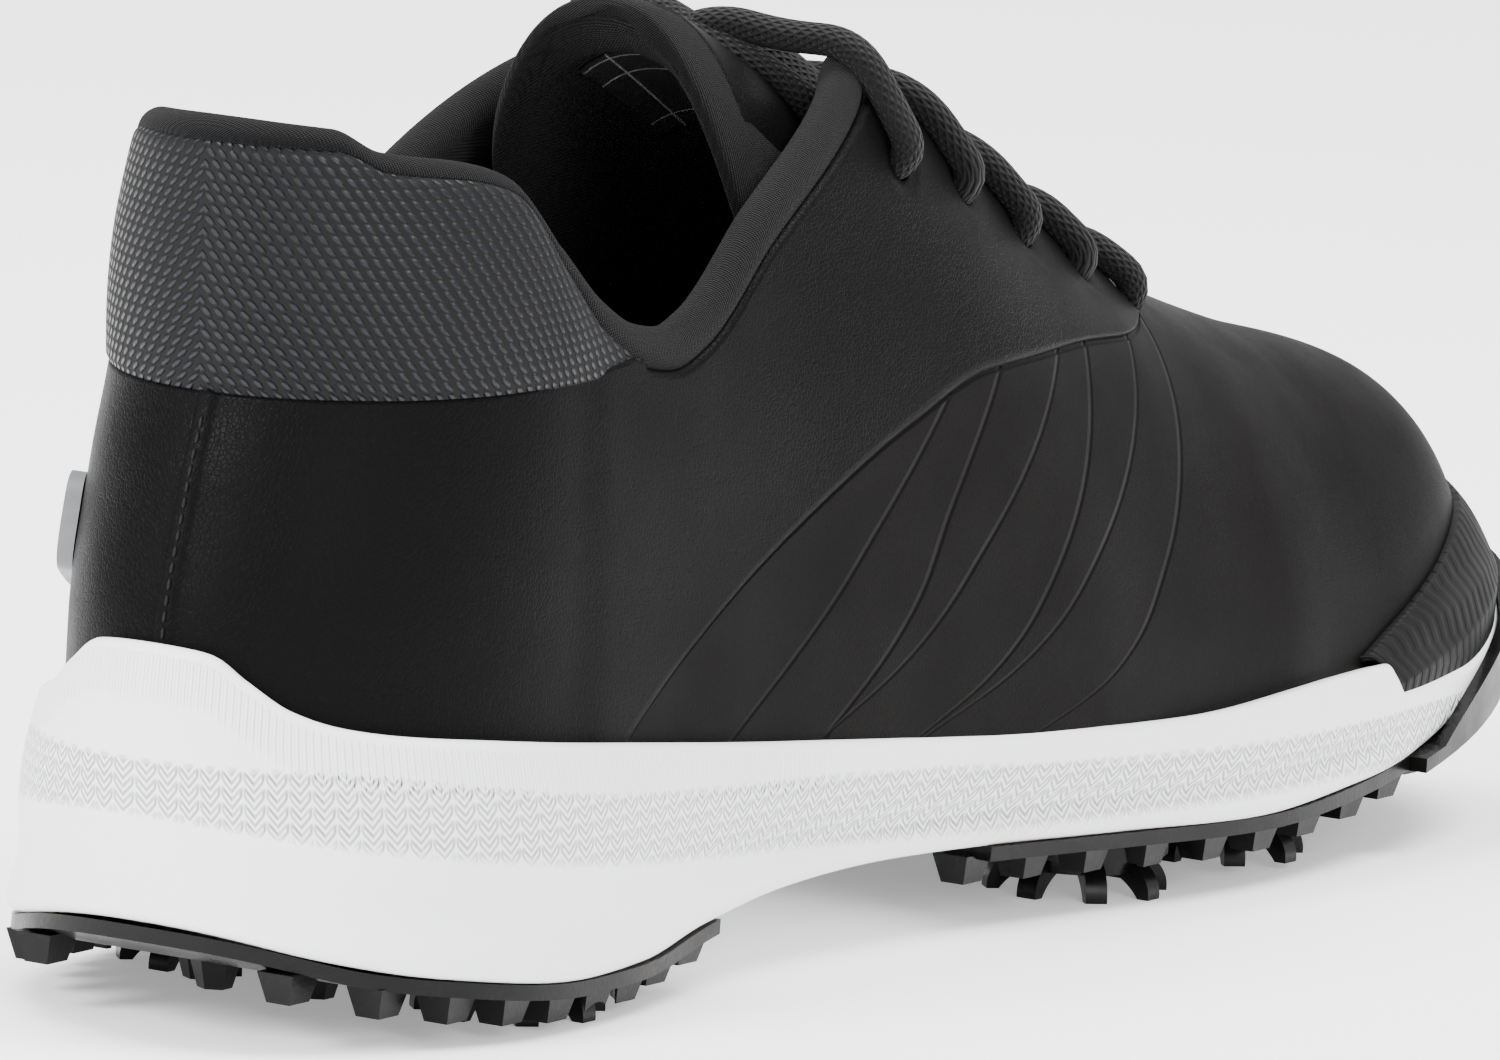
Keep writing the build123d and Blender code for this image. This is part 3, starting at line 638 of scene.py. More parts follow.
def rubber(net, colour, gloss, speckle=1600.0):
    """Moulded rubber or plastic with a faint skin."""
    where = net.coords()
    net.surface({
        "Base Color": net.shades(net.noise(where, 45.0), colour, 0.8, 1.25),
        "Roughness": net.ramp(net.noise(where, 130.0), 0.3, 0.7, gloss - 0.06, gloss + 0.08),
        "Specular IOR Level": 0.14,
        "Normal": net.bump(net.noise(where, speckle, 2.0), 0.00006, 0.5),
    })


def bumper_rubber(net, colour):
    """Matte rand with slanting bars."""
    rubber(net, colour, 0.6)
    u, v = net.chart()
    zig = net.math("PINGPONG", net.times(v, 1 / BAR_TURN), 0.5)
    wave = net.math("FRACT", net.plus(net.times(u, 1 / BAR_PITCH), zig))
    net.surface({"Normal": net.bump(net.ramp(net.gap(wave, 0.5), 0.12, 0.36), 0.00032, 0.9)})


def braid(net, colour):
    """Round braided cord: crossing strands that follow its length, with painted shade in the grooves between
    them and lighter crowns.
    """
    u, v = net.chart()
    turn = net.times(v, STRANDS / (LACE * MM * pi))
    run = net.times(u, 1 / STRAND_PITCH)
    one = net.wave(net.plus(run, turn), pi)
    two = net.wave(net.math("SUBTRACT", run, turn), pi)
    weave = net.math("MAXIMUM", net.math("ABSOLUTE", one), net.math("ABSOLUTE", two))
    net.surface({
        # painted relief shade: darker in the grooves between the strands, lighter on their crowns
        "Base Color": net.shades(net.ramp(weave, 0.5, 1.0), colour, 0.4, 1.6),
        "Roughness": 0.7,
        "Specular IOR Level": 0.15,
        "Sheen Weight": 0.04,
        "Normal": net.bump(net.noise(net.coords(), 3000.0), 0.0001, 0.4, net.bump(weave, 0.0006, 0.9)),
    })


FINISHES = {
    "leather": (leather, (0.0024, 0.0022, 0.0023), 1.0, 0.40),
    "fan leather": (leather, (0.0031, 0.0027, 0.0026), 1.6, 0.45, True),
    "knit": (knit, (0.0031, 0.0034, 0.005)),
    "cloth": (cloth, (0.0022, 0.0022, 0.0027)),
    "foam": (white_foam, (0.86, 0.875, 0.87)),
    "bumper": (bumper_rubber, (0.0022, 0.0022, 0.0025)),
    "outsole": (rubber, (0.003, 0.0027, 0.0027), 0.3),
    "cleat": (rubber, (0.0035, 0.0035, 0.004), 0.3, 900.0),
    "socket": (rubber, (0.03, 0.03, 0.03), 0.4),
    "cord": (braid, (0.0016, 0.0016, 0.0019)),
    "aglet": (rubber, (0.02, 0.02, 0.02), 0.2),
    "badge": (rubber, (0.12, 0.123, 0.13), 0.3),
    "label": (label_print, (0.014, 0.014, 0.016), (0.30, 0.30, 0.31)),
    "board": (cloth, (0.45, 0.43, 0.40), 0.0011),
    "stiffener": (rubber, (0.012, 0.012, 0.012), 0.6),
    "shank": (rubber, (0.08, 0.08, 0.08), 0.4),
    "thread": (rubber, (0.004, 0.004, 0.0045), 0.5, 3000.0),
}


def finish(name):
    """The material of a name, made once."""
    label = "Shoe " + name
    if label not in bpy.data.materials:
        work, *values = FINISHES[name]
        work(Wiring(label), *values)
    return bpy.data.materials[label]


def refinish(name, *nodes):
    """Give CAD nodes that stay in view their detailed material."""
    for node in nodes:
        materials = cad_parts[node].data.materials
        materials.clear()
        materials.append(finish(name))


# ---- lines on the upper, as angles over its section ----


def leather_top(side, x):
    """Where the leather ends: under the knitted band, under the roll or at the throat."""
    if x < 90:
        return level_at(x, min(mesh_edge(x), collar(x) - ROLL))
    if x >= SLOT_FRONT:
        return pi / 2
    reach = side * (SLOT_CENTRE - middle(x)) + slot_half(x)
    return min(level_at(x, collar(x) - ROLL), level_beside(x, max(reach, 0.0), side))


def foot_of_upper(x):
    """Where the leather goes down behind the foam's lip."""
    return level_at(x, lip_line(x) - 6)


def overlay_edge(x):
    """The line where the quarter laps over the vamp, rising to the ridge in front of the throat."""
    low = level_at(x, max(fan_edge(x), lip_line(x) - 6))
    return mix(low, pi / 2, clamp((x - 188) / 34) ** 3)


def overlay_lift(x):
    """How far the quarter's edge stands off the vamp, in millimetres."""
    return 0.42 * (1 - smooth((x - 200) / 16)) * smooth((x - 50) / 8)


def knit_top(x):
    return collar(x) - mix(2.4, ROLL, smooth((x - 36) / 22))


def lifted(side, around, level, height):
    """A point above or below the upper's outer face at an angle over its section, in millimetres."""
    here, out = upper_frame(side, around, level)
    return here + out * height


def eyelet(x, side):
    """Distance of an eyelet from the shoe's middle line."""
    return SLOT_CENTRE + side * (slot_half(x) + EYELET_INSET)


def punch_eyelets(bm, side):
    """Open a round hole for the lace at every eyelet of one side, with its rim pressed in."""
    hole, zone = 2.6 * MM, 6.5 * MM
    for x in EYELET_X:
        y = eyelet(x, side)
        centre = placed(*off_surface(x, y, 0))
        out = outward(x, y)
        doomed = [face for face in bm.faces if (face.calc_center_median() - centre).length < 1.25 * MM]
        bmesh.ops.delete(bm, geom=doomed, context="FACES")
        near = [vert for vert in bm.verts if (vert.co - centre).length < zone]
        for vert in near:
            away = vert.co - centre
            lift = out * away.dot(out)
            flat = away - lift
            distance = flat.length
            reach, dip = hole, -0.45 * MM
            if not vert.is_boundary or distance >= 3.0 * MM:
                reach = max(hole + distance * (zone - hole) / zone, distance)
                dip = -0.35 * MM * max(1 - (distance / (3.2 * MM)) ** 2, 0.0)
            vert.co = centre + flat.normalized() * max(reach, distance) + lift + out * dip


# ---- settings ----


class ShoeSettings(bpy.types.PropertyGroup):
    """Sizes the pieces are made to."""
    leather: FloatProperty(name="Leather", description="Its thickness, in mm", default=1.6, min=0.5, max=3.0)
    puff: FloatProperty(name="Puff", description="Swell of the knit, in mm", default=1.5, min=0.0, max=4.0)
    lace: FloatProperty(name="Lace", description="Its diameter, in mm", default=LACE, min=2.0, max=6.0)
    stitch: FloatProperty(name="Stitch", description="Its length, in mm", default=1.5, min=0.8, max=4.0)
    pitch: FloatProperty(name="Pitch", description="Mesh spacing, in mm", default=1.3, min=0.8, max=4.0)


def settings():
    return bpy.context.scene.shoe_settings


# ---- upper ----

LAP_SHARE = 0.014           # the part of a quarter's height over which its edge rises off the vamp
ROLL_SHARE = 0.62           # the part of the collar's rows that goes round the roll
ROLL_END = 136.0
ROLL_INSET = 2.7            # from the outer face to the middle of the roll
NEAR_TOP = pi / 2 - 0.02


def on_vamp(side, around, share):
    x = x_of(around)
    low = foot_of_upper(x)
    level = mix(low, max(overlay_edge(x), low), share)
    tucked = overlay_lift(x) > 0.05
    dip = -0.25 if tucked and share > 0.985 else 0.0
    over = 0.012 if tucked and share > 0.995 else 0.0
    return lifted(side, around, min(level + over, pi / 2), dip)


def on_quarter(side, around, share):
    x = x_of(around)
    low = max(overlay_edge(x), foot_of_upper(x))
    level = mix(low, max(leather_top(side, x), low), share)
    lift = overlay_lift(x) * smooth(share / LAP_SHARE)
    if side == MEDIAL:
        lift += 0.5 * (1 - smooth((around - 2.2) / 1.6))        # the lap of the seam at the heel
    if x > 66:
        lift -= 1.3 * smooth((share - 0.965) / 0.035) * (1 - smooth((x - 128) / 10))
    return lifted(side, around, level, lift)


def on_band(side, around, share):
    x = x_of(around)
    low = level_at(x, mesh_edge(x) - 1.5)
    high = max(level_at(x, knit_top(x) + 0.6), low)
    height = knit_top(x) - mesh_edge(x)
    swell = settings().puff * clamp(height / 14) * sin(pi * share) ** 0.6
    edge = -1.1 * (1 - smooth(share / 0.07)) - 0.9 * smooth((share - 0.93) / 0.07)
    return lifted(side, around, mix(low, high, share), swell + edge)


def on_collar(side, around, share):
    """Round the roll from outside to inside, then down the padded lining."""
    x = x_of(around)
    radius = mix(2.8, 3.25, smooth((x - 36) / 22)) * rounded_end((ROLL_END - x) / 7)
    height = collar(x) - 3.0
    level = level_at(x, height)
    if share < ROLL_SHARE:
        here, out = upper_frame(side, around, min(level, NEAR_TOP))
        up = climb(side, around, level, 0.02).normalized()
        start = radians(mix(5, -95, smooth((x - 38) / 20)))
        angle = mix(start, pi, share / ROLL_SHARE)
        return here - out * ROLL_INSET + (out * cos(angle) + up * sin(angle)) * radius
    depth = (share - ROLL_SHARE) / (1 - ROLL_SHARE)
    fall = mix(collar(x) - mesh_edge(min(x, 88)) + 6, 16, smooth((x - 72) / 20))
    inner, out = upper_frame(side, around, min(level_at(x, height - fall * depth), NEAR_TOP))
    thin = ROLL_INSET + radius
    deep = mix(mix(thin, 8.4, smooth(depth * 11)), 3.4, smooth((depth - 0.84) / 0.16))
    flat = mix(thin, 3.4, smooth(depth) ** 1.5)
    return inner - out * mix(flat, deep, 1 - smooth((x - 76) / 14))


class SHOE_OT_vamp(bpy.types.Operator):
    """Make the vamp: the embossed side panels and the toe in one skin"""
    bl_idname = "shoe.vamp"
    bl_label = "Vamp"

    def execute(self, context):
        stations = steps(way(53), FRONT_ARC, settings().pitch, [(FRONT_ARC - 16, FRONT_ARC, 0.8)])
        rows = [sin(share * pi / 2) ** 1.15 for share in shares(72)]
        bm = both_sides(stations, rows, on_vamp)
        piece = finish_mesh(bm, "upper.vamp", "fan leather", facing=OUTWARDS, solid=settings().leather)
        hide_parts("vamp")
        return {"FINISHED"}


class SHOE_OT_quarters(bpy.types.Operator):
    """Make the two quarters that lap over the vamp and carry the eyelets"""
    bl_idname = "shoe.quarters"
    bl_label = "Quarters"

    def execute(self, context):
        front = way(222)
        stations = steps(0.0, front, settings().pitch, [(0, 5, 0.6), (way(204), front, 0.55)])
        rows = [0.0, 0.006] + [mix(LAP_SHARE, 1.0, share) for share in shares(56)]
        for side, label in ((MEDIAL, "medial"), (LATERAL, "lateral")):
            bm = laid(stations, rows, partial(on_quarter, side))
            join(bm)
            punch_eyelets(bm, side)
            piece = finish_mesh(bm, f"upper.quarter_{label}", "leather", facing=OUTWARDS,
                                solid=settings().leather)
            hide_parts(f"quarter_{label}")
        return {"FINISHED"}


class SHOE_OT_band(bpy.types.Operator):
    """Make the padded knitted band round the ankle"""
    bl_idname = "shoe.band"
    bl_label = "Knitted band"

    def execute(self, context):
        bm = both_sides(steps(0.0, way(66), 1.2), shares(32), on_band)
        piece = finish_mesh(bm, "collar.knit_band", "knit", facing=away_from(60, 0, 90), solid=1.0)
        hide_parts("collar_mesh")
        return {"FINISHED"}


class SHOE_OT_collar(bpy.types.Operator):
    """Make the rolled edge of the collar and the padded lining inside it"""
    bl_idname = "shoe.collar"
    bl_label = "Collar lining"

    def execute(self, context):
        stations = steps(0.0, way(ROLL_END), 1.3, [(way(124), way(ROLL_END), 0.6)])
        bm = both_sides(stations, shares(44), on_collar)
        piece = finish_mesh(bm, "collar.lining", "cloth", facing=top_looks_up, solid=0.9)
        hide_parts("collar_lining", "collar_foam")
        return {"FINISHED"}


# ---- tongue ----

TONGUE_END, TONGUE_TIP = 101.0, 212.0
TONGUE_MIDDLE = 14.1        # depth of the pad's middle under the upper's outer face
SKIN_MARGIN = 5
LABEL_HALF_WIDTH = 11


def under_surface(x, y, depth):
    """A point at a depth under the upper's outer face, in millimetres, drawn straight down a section."""
    inside = clamp(y, 3 - medial(x), lateral(x) - 3)
    return Vector((x, y, crown(x, inside) - depth / max(outward(x, inside).z, 0.35)))


def on_pad(x, share):
    """A point round the pad's section, which is squarish, with a thicker rim towards the foot."""
    near_end = min((x - TONGUE_END) / 11, 1.0)
    corner = max(1 - (1 - near_end) ** 3, 0.0) ** (1 / 3)
    angle = 2 * pi * share
    across = copysign(abs(cos(angle)) ** 0.55, cos(angle))
    through = copysign(abs(sin(angle)) ** 0.62, sin(angle))
    rim = max(smooth((abs(across) - 0.66) / 0.12), 1 - smooth((x - TONGUE_END - 6) / 3))
    thick = 3.1 if through >= 0 else mix(2.5, 4.4, rim * smooth((150 - x) / 30))
    return under_surface(x, SLOT_CENTRE + tongue_half(x) * corner * across,
                         TONGUE_MIDDLE - thick * through * rounded_end(near_end))


def on_tongue_skin(x, share):
    across = 2 * share - 1
    edge = max(abs(across) ** 8, 1 - smooth((x - TONGUE_END - 7) / 1.5))
    return under_surface(x, SLOT_CENTRE + across * (tongue_half(x) - SKIN_MARGIN), 10.95 + 0.9 * edge)


def on_label(x, share):
    across = 2 * share - 1
    return under_surface(x, SLOT_CENTRE + across * LABEL_HALF_WIDTH, 16.95 + 0.25 * abs(across) ** 6)


class SHOE_OT_tongue(bpy.types.Operator):
    """Make the padded tongue with its rolled rim, its outer skin and its blank label"""
    bl_idname = "shoe.tongue"
    bl_label = "Tongue"

    def execute(self, context):
        stations = steps(TONGUE_END, TONGUE_TIP, 1.6, [(TONGUE_END, TONGUE_END + 12, 0.5)])
        bm = laid(stations, shares(88), on_pad)
        close_ends(bm)
        pad = finish_mesh(bm, "tongue.padding", "cloth", "tongue")
        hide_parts("tongue_lining", "tongue_foam")

        bm = laid(steps(TONGUE_END + 7, TONGUE_TIP, 1.6), shares(30), on_tongue_skin)
        piece = finish_mesh(bm, "tongue.skin", "leather", "tongue", away_from(150, 0, 0), 0.9)
        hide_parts("tongue_outer")

        bm = laid(steps(111, 133, 1.0), shares(16), on_label)
        piece = finish_mesh(bm, "tongue.label", "label", "tongue", away_from(120, 0, 400), 0.3)
        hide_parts("size_label")
        return {"FINISHED"}


# ---- lace ----


def crossing(start, end, upper_strand):
    """Points from an eyelet of one side, over its facing, to under the facing of the other."""
    (x0, y0), (x1, y1) = start, end
    side = 1 if y0 > SLOT_CENTRE else -1
    edge0 = SLOT_CENTRE + side * (abs(y0 - SLOT_CENTRE) - EYELET_INSET)
    edge1 = SLOT_CENTRE - side * (abs(y1 - SLOT_CENTRE) - EYELET_INSET)
    step = (x1 - x0) / 4
    return [
        off_surface(x0, y0, -LACE_UNDER),
        off_surface(x0, y0, LACE_OVER),
        off_surface(x0 + step, edge0, LACE_OVER),
        off_surface(x0 + 2 * step, SLOT_CENTRE, -5.0 if upper_strand else -9.2),
        off_surface(x0 + 3 * step, edge1, -LACE_UNDER),
    ]


def half_lace(first_side):
    """One end of the lace, from the lowest eyelet of a side up to its tucked tip."""
    holes = [(x, eyelet(x, first_side * (-1) ** row)) for row, x in enumerate(EYELET_X)]
    route = []
    for start, end in zip(holes, holes[1:]):
        route += crossing(start, end, first_side < 0)
    x, y = holes[-1]
    out = 1 if y > SLOT_CENTRE else -1
    edge = slot_half(x)
    return route + [
        off_surface(x, y, -LACE_UNDER),
        off_surface(x, y, LACE_OVER),
        off_surface(x - 3, SLOT_CENTRE + out * edge, LACE_OVER),
        off_surface(x - 1, SLOT_CENTRE + out * edge * 0.6, -4.8),
        off_surface(x - 1, SLOT_CENTRE, -6.4 if first_side < 0 else -9.8),
        off_surface(x - 1, SLOT_CENTRE - out * edge, -LACE_UNDER - 1.2),
        off_surface(x + 8, SLOT_CENTRE - out * (edge + 13), -LACE_UNDER),
        off_surface(x + 24, SLOT_CENTRE - out * (edge + 16), -LACE_UNDER),
        off_surface(x + 38, SLOT_CENTRE - out * (edge + 16), -LACE_UNDER),
    ]


def rounded_route(route):
    """A route with its corners rounded off, as closely spaced points."""
    line = [route[0]]
    for before, here, after in zip(route, route[1:], route[2:]):
        into, away = (here - before), (after - here)
        cut = 0.45 * min(into.length, away.length)
        first, last = here - into.normalized() * cut, here + away.normalized() * cut
        for i in range(9):
            t = i / 8
            line.append(first * (1 - t) ** 2 + here * (2 * t * (1 - t)) + last * t * t)
    line.append(route[-1])
    return line


def even(line, pitch):
    """The same line at an even spacing."""
    run = [0.0]
    for a, b in zip(line, line[1:]):
        run.append(run[-1] + (b - a).length)
    count = max(int(run[-1] / pitch), 2)
    points, k = [], 0
    for i in range(count + 1):
        want = run[-1] * i / count
        while k < len(run) - 2 and run[k + 1] < want:
            k += 1
        span = max(run[k + 1] - run[k], 1e-9)
        points.append(line[k].lerp(line[k + 1], (want - run[k]) / span))
    return points


def tube(points, radius, sides):
    """A closed round tube along evenly spaced points, with its lengths as UV."""
    ahead, behind = points[1:] + points[-1:], points[:1] + points[:-1]
    tangents = [(a - b).normalized() for a, b in zip(ahead, behind)]
    normal = tangents[0].orthogonal().normalized()
    frames = []
    for i, tangent in enumerate(tangents):
        if i:
            normal = tangents[i - 1].rotation_difference(tangent) @ normal
        normal = (normal - tangent * normal.dot(tangent)).normalized()
        frames.append((normal.copy(), tangent.cross(normal)))
    columns = len(points) - 1

    def place(u, v):
        i = round(u * columns)
        across, over = frames[i]
        turn = 2 * pi * v
        return points[i] + (across * cos(turn) + over * sin(turn)) * radius

    bm = draped(columns, sides, place)
    close_ends(bm)
    return bm


class SHOE_OT_lace(bpy.types.Operator):
    """Make the round braided lace and its two tips"""
    bl_idname = "shoe.lace"
    bl_label = "Lace"

    def execute(self, context):
        medial_run, lateral_run = half_lace(MEDIAL), half_lace(LATERAL)
        route = medial_run[::-1] + [off_surface(EYELET_X[0], SLOT_CENTRE, -6.5)] + lateral_run
        points = even(rounded_route(route), 1.15)
        piece = finish_mesh(tube(points, settings().lace / 2, 14), "lace.cord", "cord")
        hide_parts("lace")
        refinish("aglet", "aglets")
        return {"FINISHED"}


# ---- sole ----

FLOOR_ROWS, EDGE_ROWS, WALL_ROWS, LIP_ROWS = 0.12, 0.2, 0.86, 0.92     # where each stretch of rows ends
EDGE_ROUND = 2.4
LIP_ROUND = 1.5
LIP_WIDTH = 5.0
TUB_REAR, TUB_FRONT = 24, 280
RAND_START = HEEL_ARC + 238.6 - HEEL_ROUND


def sole_x(around):
    """Distance from the heel of a place on the foam's outline."""
    return clamp(on_sole(LATERAL, around, 20, 0).x, 0.2, SOLE_FRONT)


def wall_height(x, share):
    return mix(tread(x) + EDGE_ROUND, lip_line(x) - LIP_ROUND, (share - EDGE_ROWS) / (WALL_ROWS - EDGE_ROWS))


def on_foam(side, around, share):
    """A point of the foam: its underside, lower edge, wall, lip and the tub inside, in that order."""
    x = sole_x(around)
    low, lip = tread(x), lip_line(x)
    if share < FLOOR_ROWS:
        edge = on_sole(side, around, low, -EDGE_ROUND)
        centre = Vector((clamp(edge.x, TUB_REAR, TUB_FRONT), middle(x), low))
        return centre.lerp(edge, share / FLOOR_ROWS)
    if share < EDGE_ROWS:
        turn = (share - FLOOR_ROWS) / (EDGE_ROWS - FLOOR_ROWS) * pi / 2
        return on_sole(side, around, low + EDGE_ROUND * (1 - cos(turn)), -EDGE_ROUND * (1 - sin(turn)))
    if share < WALL_ROWS:
        t = (share - EDGE_ROWS) / (WALL_ROWS - EDGE_ROWS)
        sag = -0.9 * sin(pi * min(t / 0.45, 1.0)) ** 2 * smooth((x - 4) / 20)
        swell = 0.7 * sin(pi * max(t - 0.35, 0.0) / 0.65)
        return on_sole(side, around, wall_height(x, share), (sag + swell) * (1 - smooth((x - 232) / 12)))
    if share < LIP_ROWS:
        turn = (share - WALL_ROWS) / (LIP_ROWS - WALL_ROWS) * pi / 2
        return on_sole(side, around, lip - LIP_ROUND * (1 - sin(turn)), -LIP_ROUND * (1 - cos(turn)))
    t = 2 * (share - LIP_ROWS) / (1 - LIP_ROWS)
    inner = on_sole(side, around, lip, -LIP_WIDTH)
    inner.z = lip - 1.0
    if t < 1:
        return on_sole(side, around, lip, -LIP_ROUND).lerp(inner, t)
    floor = Vector((clamp(inner.x, TUB_REAR, TUB_FRONT), middle(x), feather(x) + 0.6))
    return inner.lerp(floor, t - 1)


def wall_chart(around, share):
    x = sole_x(around)
    return around * MM, (lip_line(x) - wall_height(x, share)) * MM


def band_chart(around, share):
    x = sole_x(around)
    return x / SOLE_FRONT, (band_top(x) - wall_height(x, share)) / (band_top(x) - band_low(x))


def on_rand(side, around, share):
    """A point of the rand: tucked behind the lip, up its wall and over onto the leather."""
    x = on_sole(side, around, 30, 0).x
    near = smooth((around - RAND_START) / 2.0)
    low = lip_line(x) - 2.2
    high = max(bumper_top(x) + 0.3, low + 3)
    shoulder = mix(low, high, 0.42)
    beyond = max(around - SOLE_TOE_START, 0.0) * TOE_ARC / SOLE_TOE_ARC
    inner_way = TOE_START + beyond if beyond else min(HEEL_ARC + x - HEEL_ROUND, TOE_START)
    crest = lifted(side, inner_way, level_at(x_of(inner_way), high), mix(-0.6, 0.9, near))
    outer = mix(-1.6, -0.5, near)
    if share < 0.1:
        return on_sole(side, around, low, mix(-4.5, outer, share / 0.1))
    if share < 0.4:
        return on_sole(side, around, mix(low, shoulder, (share - 0.1) / 0.3), outer)
    if share < 0.9:
        t = (share - 0.4) / 0.5
        return on_sole(side, around, shoulder, outer).lerp(crest, t) + Vector((0, 0, 1.0)) * sin(pi * t)
    tuck = lifted(side, inner_way, level_at(x_of(inner_way), high + 0.4), -1.0)
    return crest.lerp(tuck, (share - 0.9) / 0.1)


class SHOE_OT_midsole(bpy.types.Operator):
    """Make the white foam sole with its lip, ribs and chevron band"""
    bl_idname = "shoe.midsole"
    bl_label = "Midsole"

    def execute(self, context):
        stations = steps(0.0, SOLE_ARC, 2.0, [(0, 30, 1.4), (SOLE_ARC - 40, SOLE_ARC, 1.4)])
        bm = both_sides(stations, shares(92), on_foam, {"wall": wall_chart, "band": band_chart}, 0.05)
        piece = finish_mesh(bm, "sole.midsole", "foam")
        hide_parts("midsole")
        return {"FINISHED"}


class SHOE_OT_bumper(bpy.types.Operator):
    """Make the black rand round the toe"""
    bl_idname = "shoe.bumper"
    bl_label = "Toe bumper"

    def execute(self, context):
        stations = steps(RAND_START, SOLE_ARC, 1.2, [(RAND_START, RAND_START + 4, 0.5)])
        bm = both_sides(stations, shares(40), on_rand)
        piece = finish_mesh(bm, "sole.toe_bumper", "bumper", facing=OUTWARDS, solid=0.8)
        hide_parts("toe_bumper")
        return {"FINISHED"}


class SHOE_OT_outsole(bpy.types.Operator):
    """Finish the outsole, its sockets, the soft cleats and the parts inside the shoe"""
    bl_idname = "shoe.outsole"
    bl_label = "Outsole and inner parts"

    def execute(self, context):
        refinish("outsole", "outsole_heel", "outsole_forefoot")
        refinish("socket", "cleat_receptacles")
        refinish("cleat", *(f"cleat_{number}" for number in range(1, 8)))
        refinish("cloth", "vamp_lining", "quarter_lining", "insole")
        refinish("stiffener", "heel_counter", "toe_puff", "eyestay_medial", "eyestay_lateral")
        refinish("board", "strobel_board")
        refinish("shank", "shank_plate")
        refinish("badge", "heel_badge")
        return {"FINISHED"}


STITCH_LOW, STITCH_HIGH = 52.0, 80
STITCH_RADIUS = 0.27


class SHOE_OT_stitches(bpy.types.Operator):
    """Sew the seam down the back of the heel"""
    bl_idname = "shoe.stitches"
    bl_label = "Heel seam stitches"

    def execute(self, context):
        length = settings().stitch
        stretch = Matrix.Diagonal((1, 1, length / (2 * STITCH_RADIUS), 1))
        bm = bmesh.new()
        z = STITCH_LOW
        while z < STITCH_HIGH:
            here = lifted(MEDIAL, 1.6, level_at(0.0, z), 0.62)
            ahead = lifted(MEDIAL, 1.6, level_at(0.0, z + 1.0), 0.62)
            ball = bmesh.ops.create_uvsphere(bm, u_segments=6, v_segments=5, radius=STITCH_RADIUS * MM)
            turn = Vector((0, 0, 1)).rotation_difference(ahead - here).to_matrix().to_4x4()
            bmesh.ops.transform(bm, matrix=Matrix.Translation(placed(*here)) @ turn @ stretch,
                                verts=ball["verts"])
            z += length * 1.35
        finish_mesh(bm, "upper.heel_stitches", "thread")
        return {"FINISHED"}


# ---- stage ----


WHITE = (1.0, 1.0, 1.0, 1.0)
LAMPS = (                   # name, place from the shoe's middle in metres, power, size
    ("key", (0.45, -0.6, 1.6), 46.0, 0.9),
    ("left", (-1.6, 0.5, 0.9), 52.0, 0.7),
    ("right", (-1.1, -1.6, 0.8), 20.0, 0.8),
    ("top", (0.1, 0.6, 1.6), 34.0, 1.0),
)
VIEW_FROM = Vector((-1.7130, -1.0657, 0.36175))
VIEW_AHEAD = Vector((0.83881, 0.52244, -0.15319))
VIEW_RIGHT = Vector((0.52868, -0.84883, 0.0))
VIEW_ROLL = 0.051692
FOCAL_LENGTH = 364.1


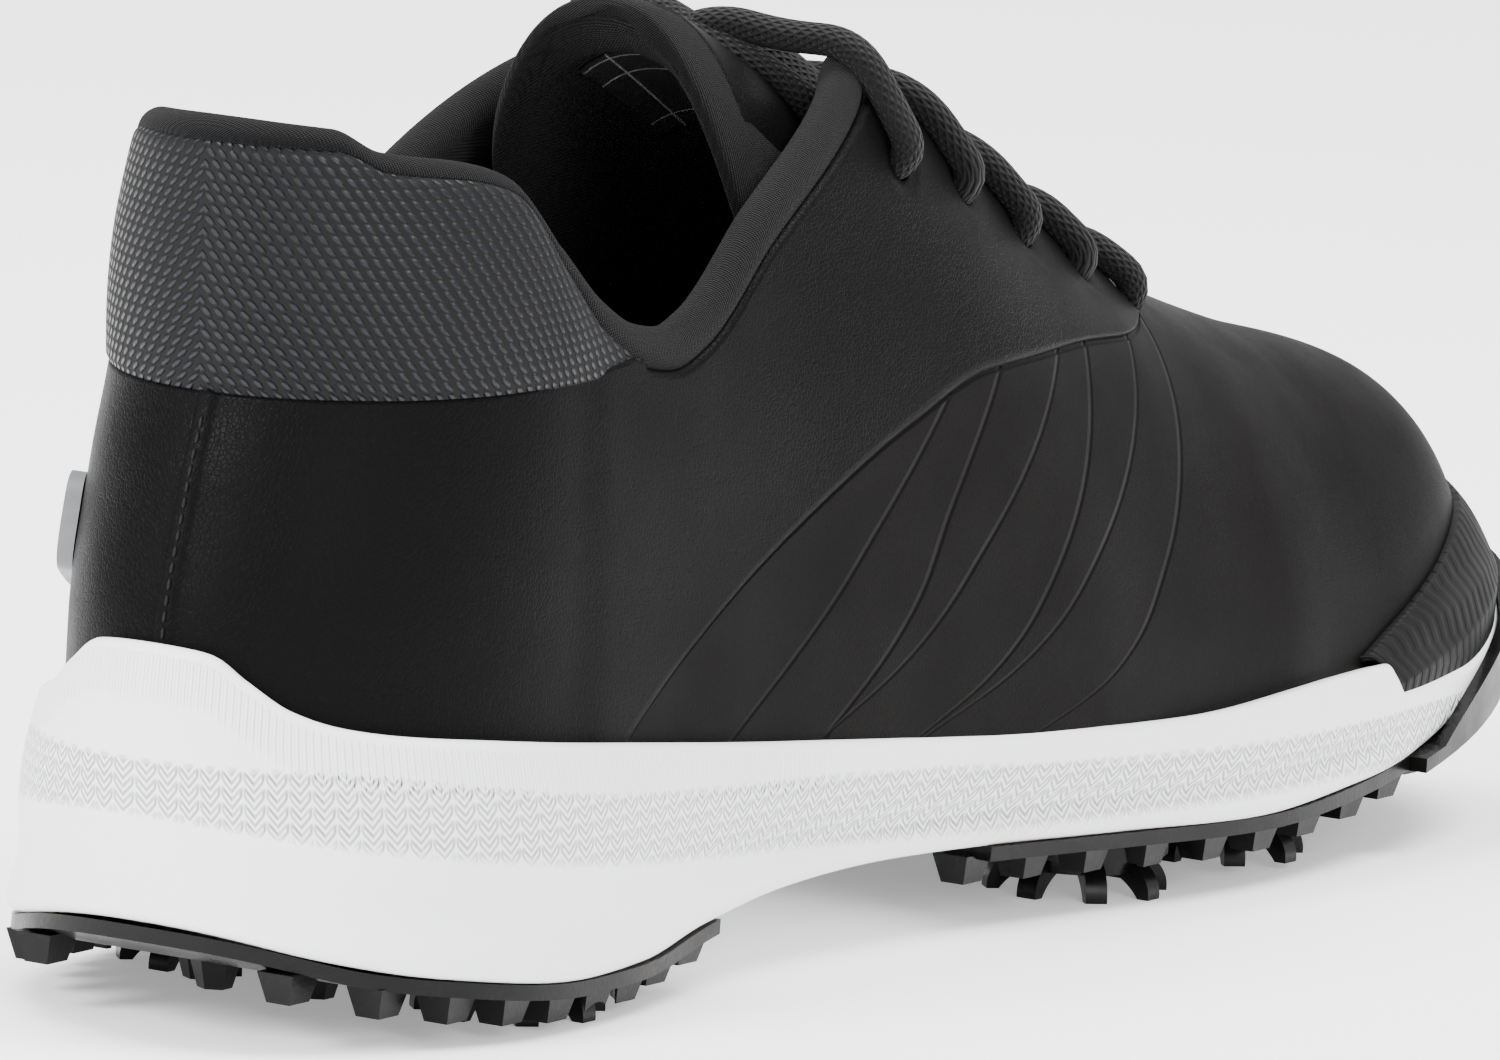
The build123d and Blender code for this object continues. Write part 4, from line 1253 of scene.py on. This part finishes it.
class SHOE_OT_stage(bpy.types.Operator):
    """Set the pale floor, the soft lights and the camera"""
    bl_idname = "shoe.stage"
    bl_label = "Stage"

    def execute(self, context):
        scene = context.scene
        bm = bmesh.new()
        bmesh.ops.create_grid(bm, x_segments=2, y_segments=2, size=6.0)
        mesh = bpy.data.meshes.new("floor")
        bm.to_mesh(mesh)
        bm.free()
        floor = bpy.data.objects.new("floor", mesh)
        net = Wiring("Studio floor")
        net.surface({"Base Color": (0.97, 0.97, 0.97, 1.0), "Roughness": 0.7, "Specular IOR Level": 0.15,
                     "Emission Color": WHITE, "Emission Strength": 0.35})
        mesh.materials.append(net.material)
        scene.collection.objects.link(floor)

        world = bpy.data.worlds.new("Studio")
        scene.world = world
        world.use_nodes = True
        background = world.node_tree.nodes["Background"]
        background.inputs["Color"].default_value = WHITE
        background.inputs["Strength"].default_value = 1.3

        target = placed(150, 0, 60)
        for label, offset, power, size in LAMPS:
            lamp = bpy.data.lights.new(label, "AREA")
            lamp.energy = power
            lamp.shape = "DISK"
            lamp.size = size
            thing = bpy.data.objects.new(label, lamp)
            thing.location = target + Vector(offset)
            thing.rotation_euler = (-Vector(offset)).to_track_quat("-Z", "Y").to_euler()
            scene.collection.objects.link(thing)

        forward = VIEW_AHEAD.normalized()
        right = VIEW_RIGHT.normalized()
        up = right.cross(forward)
        tilted_right = right * cos(VIEW_ROLL) + up * sin(VIEW_ROLL)
        tilted_up = up * cos(VIEW_ROLL) - right * sin(VIEW_ROLL)
        lens = bpy.data.cameras.new("camera")
        lens.lens = FOCAL_LENGTH
        lens.sensor_width = 36.0
        lens.clip_end = 50.0
        camera = bpy.data.objects.new("camera", lens)
        place = Matrix((tilted_right, tilted_up, -forward)).transposed().to_4x4()
        place.translation = VIEW_FROM
        camera.matrix_world = place
        scene.collection.objects.link(camera)
        scene.camera = camera
        return {"FINISHED"}


class SHOE_PT_panel(bpy.types.Panel):
    """The shoe's pieces in the sidebar"""
    bl_label = "Golf Shoe"
    bl_idname = "SHOE_PT_panel"
    bl_space_type = "VIEW_3D"
    bl_region_type = "UI"
    bl_category = "Golf Shoe"

    def draw(self, context):
        for name in ShoeSettings.__annotations__:
            self.layout.prop(context.scene.shoe_settings, name)
        for operator in OPERATORS:
            self.layout.operator(operator.bl_idname)


OPERATORS = (SHOE_OT_vamp, SHOE_OT_quarters, SHOE_OT_band, SHOE_OT_collar, SHOE_OT_tongue, SHOE_OT_lace,
             SHOE_OT_midsole, SHOE_OT_bumper, SHOE_OT_outsole, SHOE_OT_stitches, SHOE_OT_stage)
CLASSES = (ShoeSettings, *OPERATORS, SHOE_PT_panel)


def register():
    for cls in CLASSES:
        bpy.utils.register_class(cls)
    bpy.types.Scene.shoe_settings = PointerProperty(type=ShoeSettings)


def unregister():
    del bpy.types.Scene.shoe_settings
    for cls in reversed(CLASSES):
        bpy.utils.unregister_class(cls)


def main():
    register()
    for operator in OPERATORS:
        getattr(bpy.ops.shoe, operator.bl_idname.split(".")[1])()


if __name__ == "__main__":
    main()
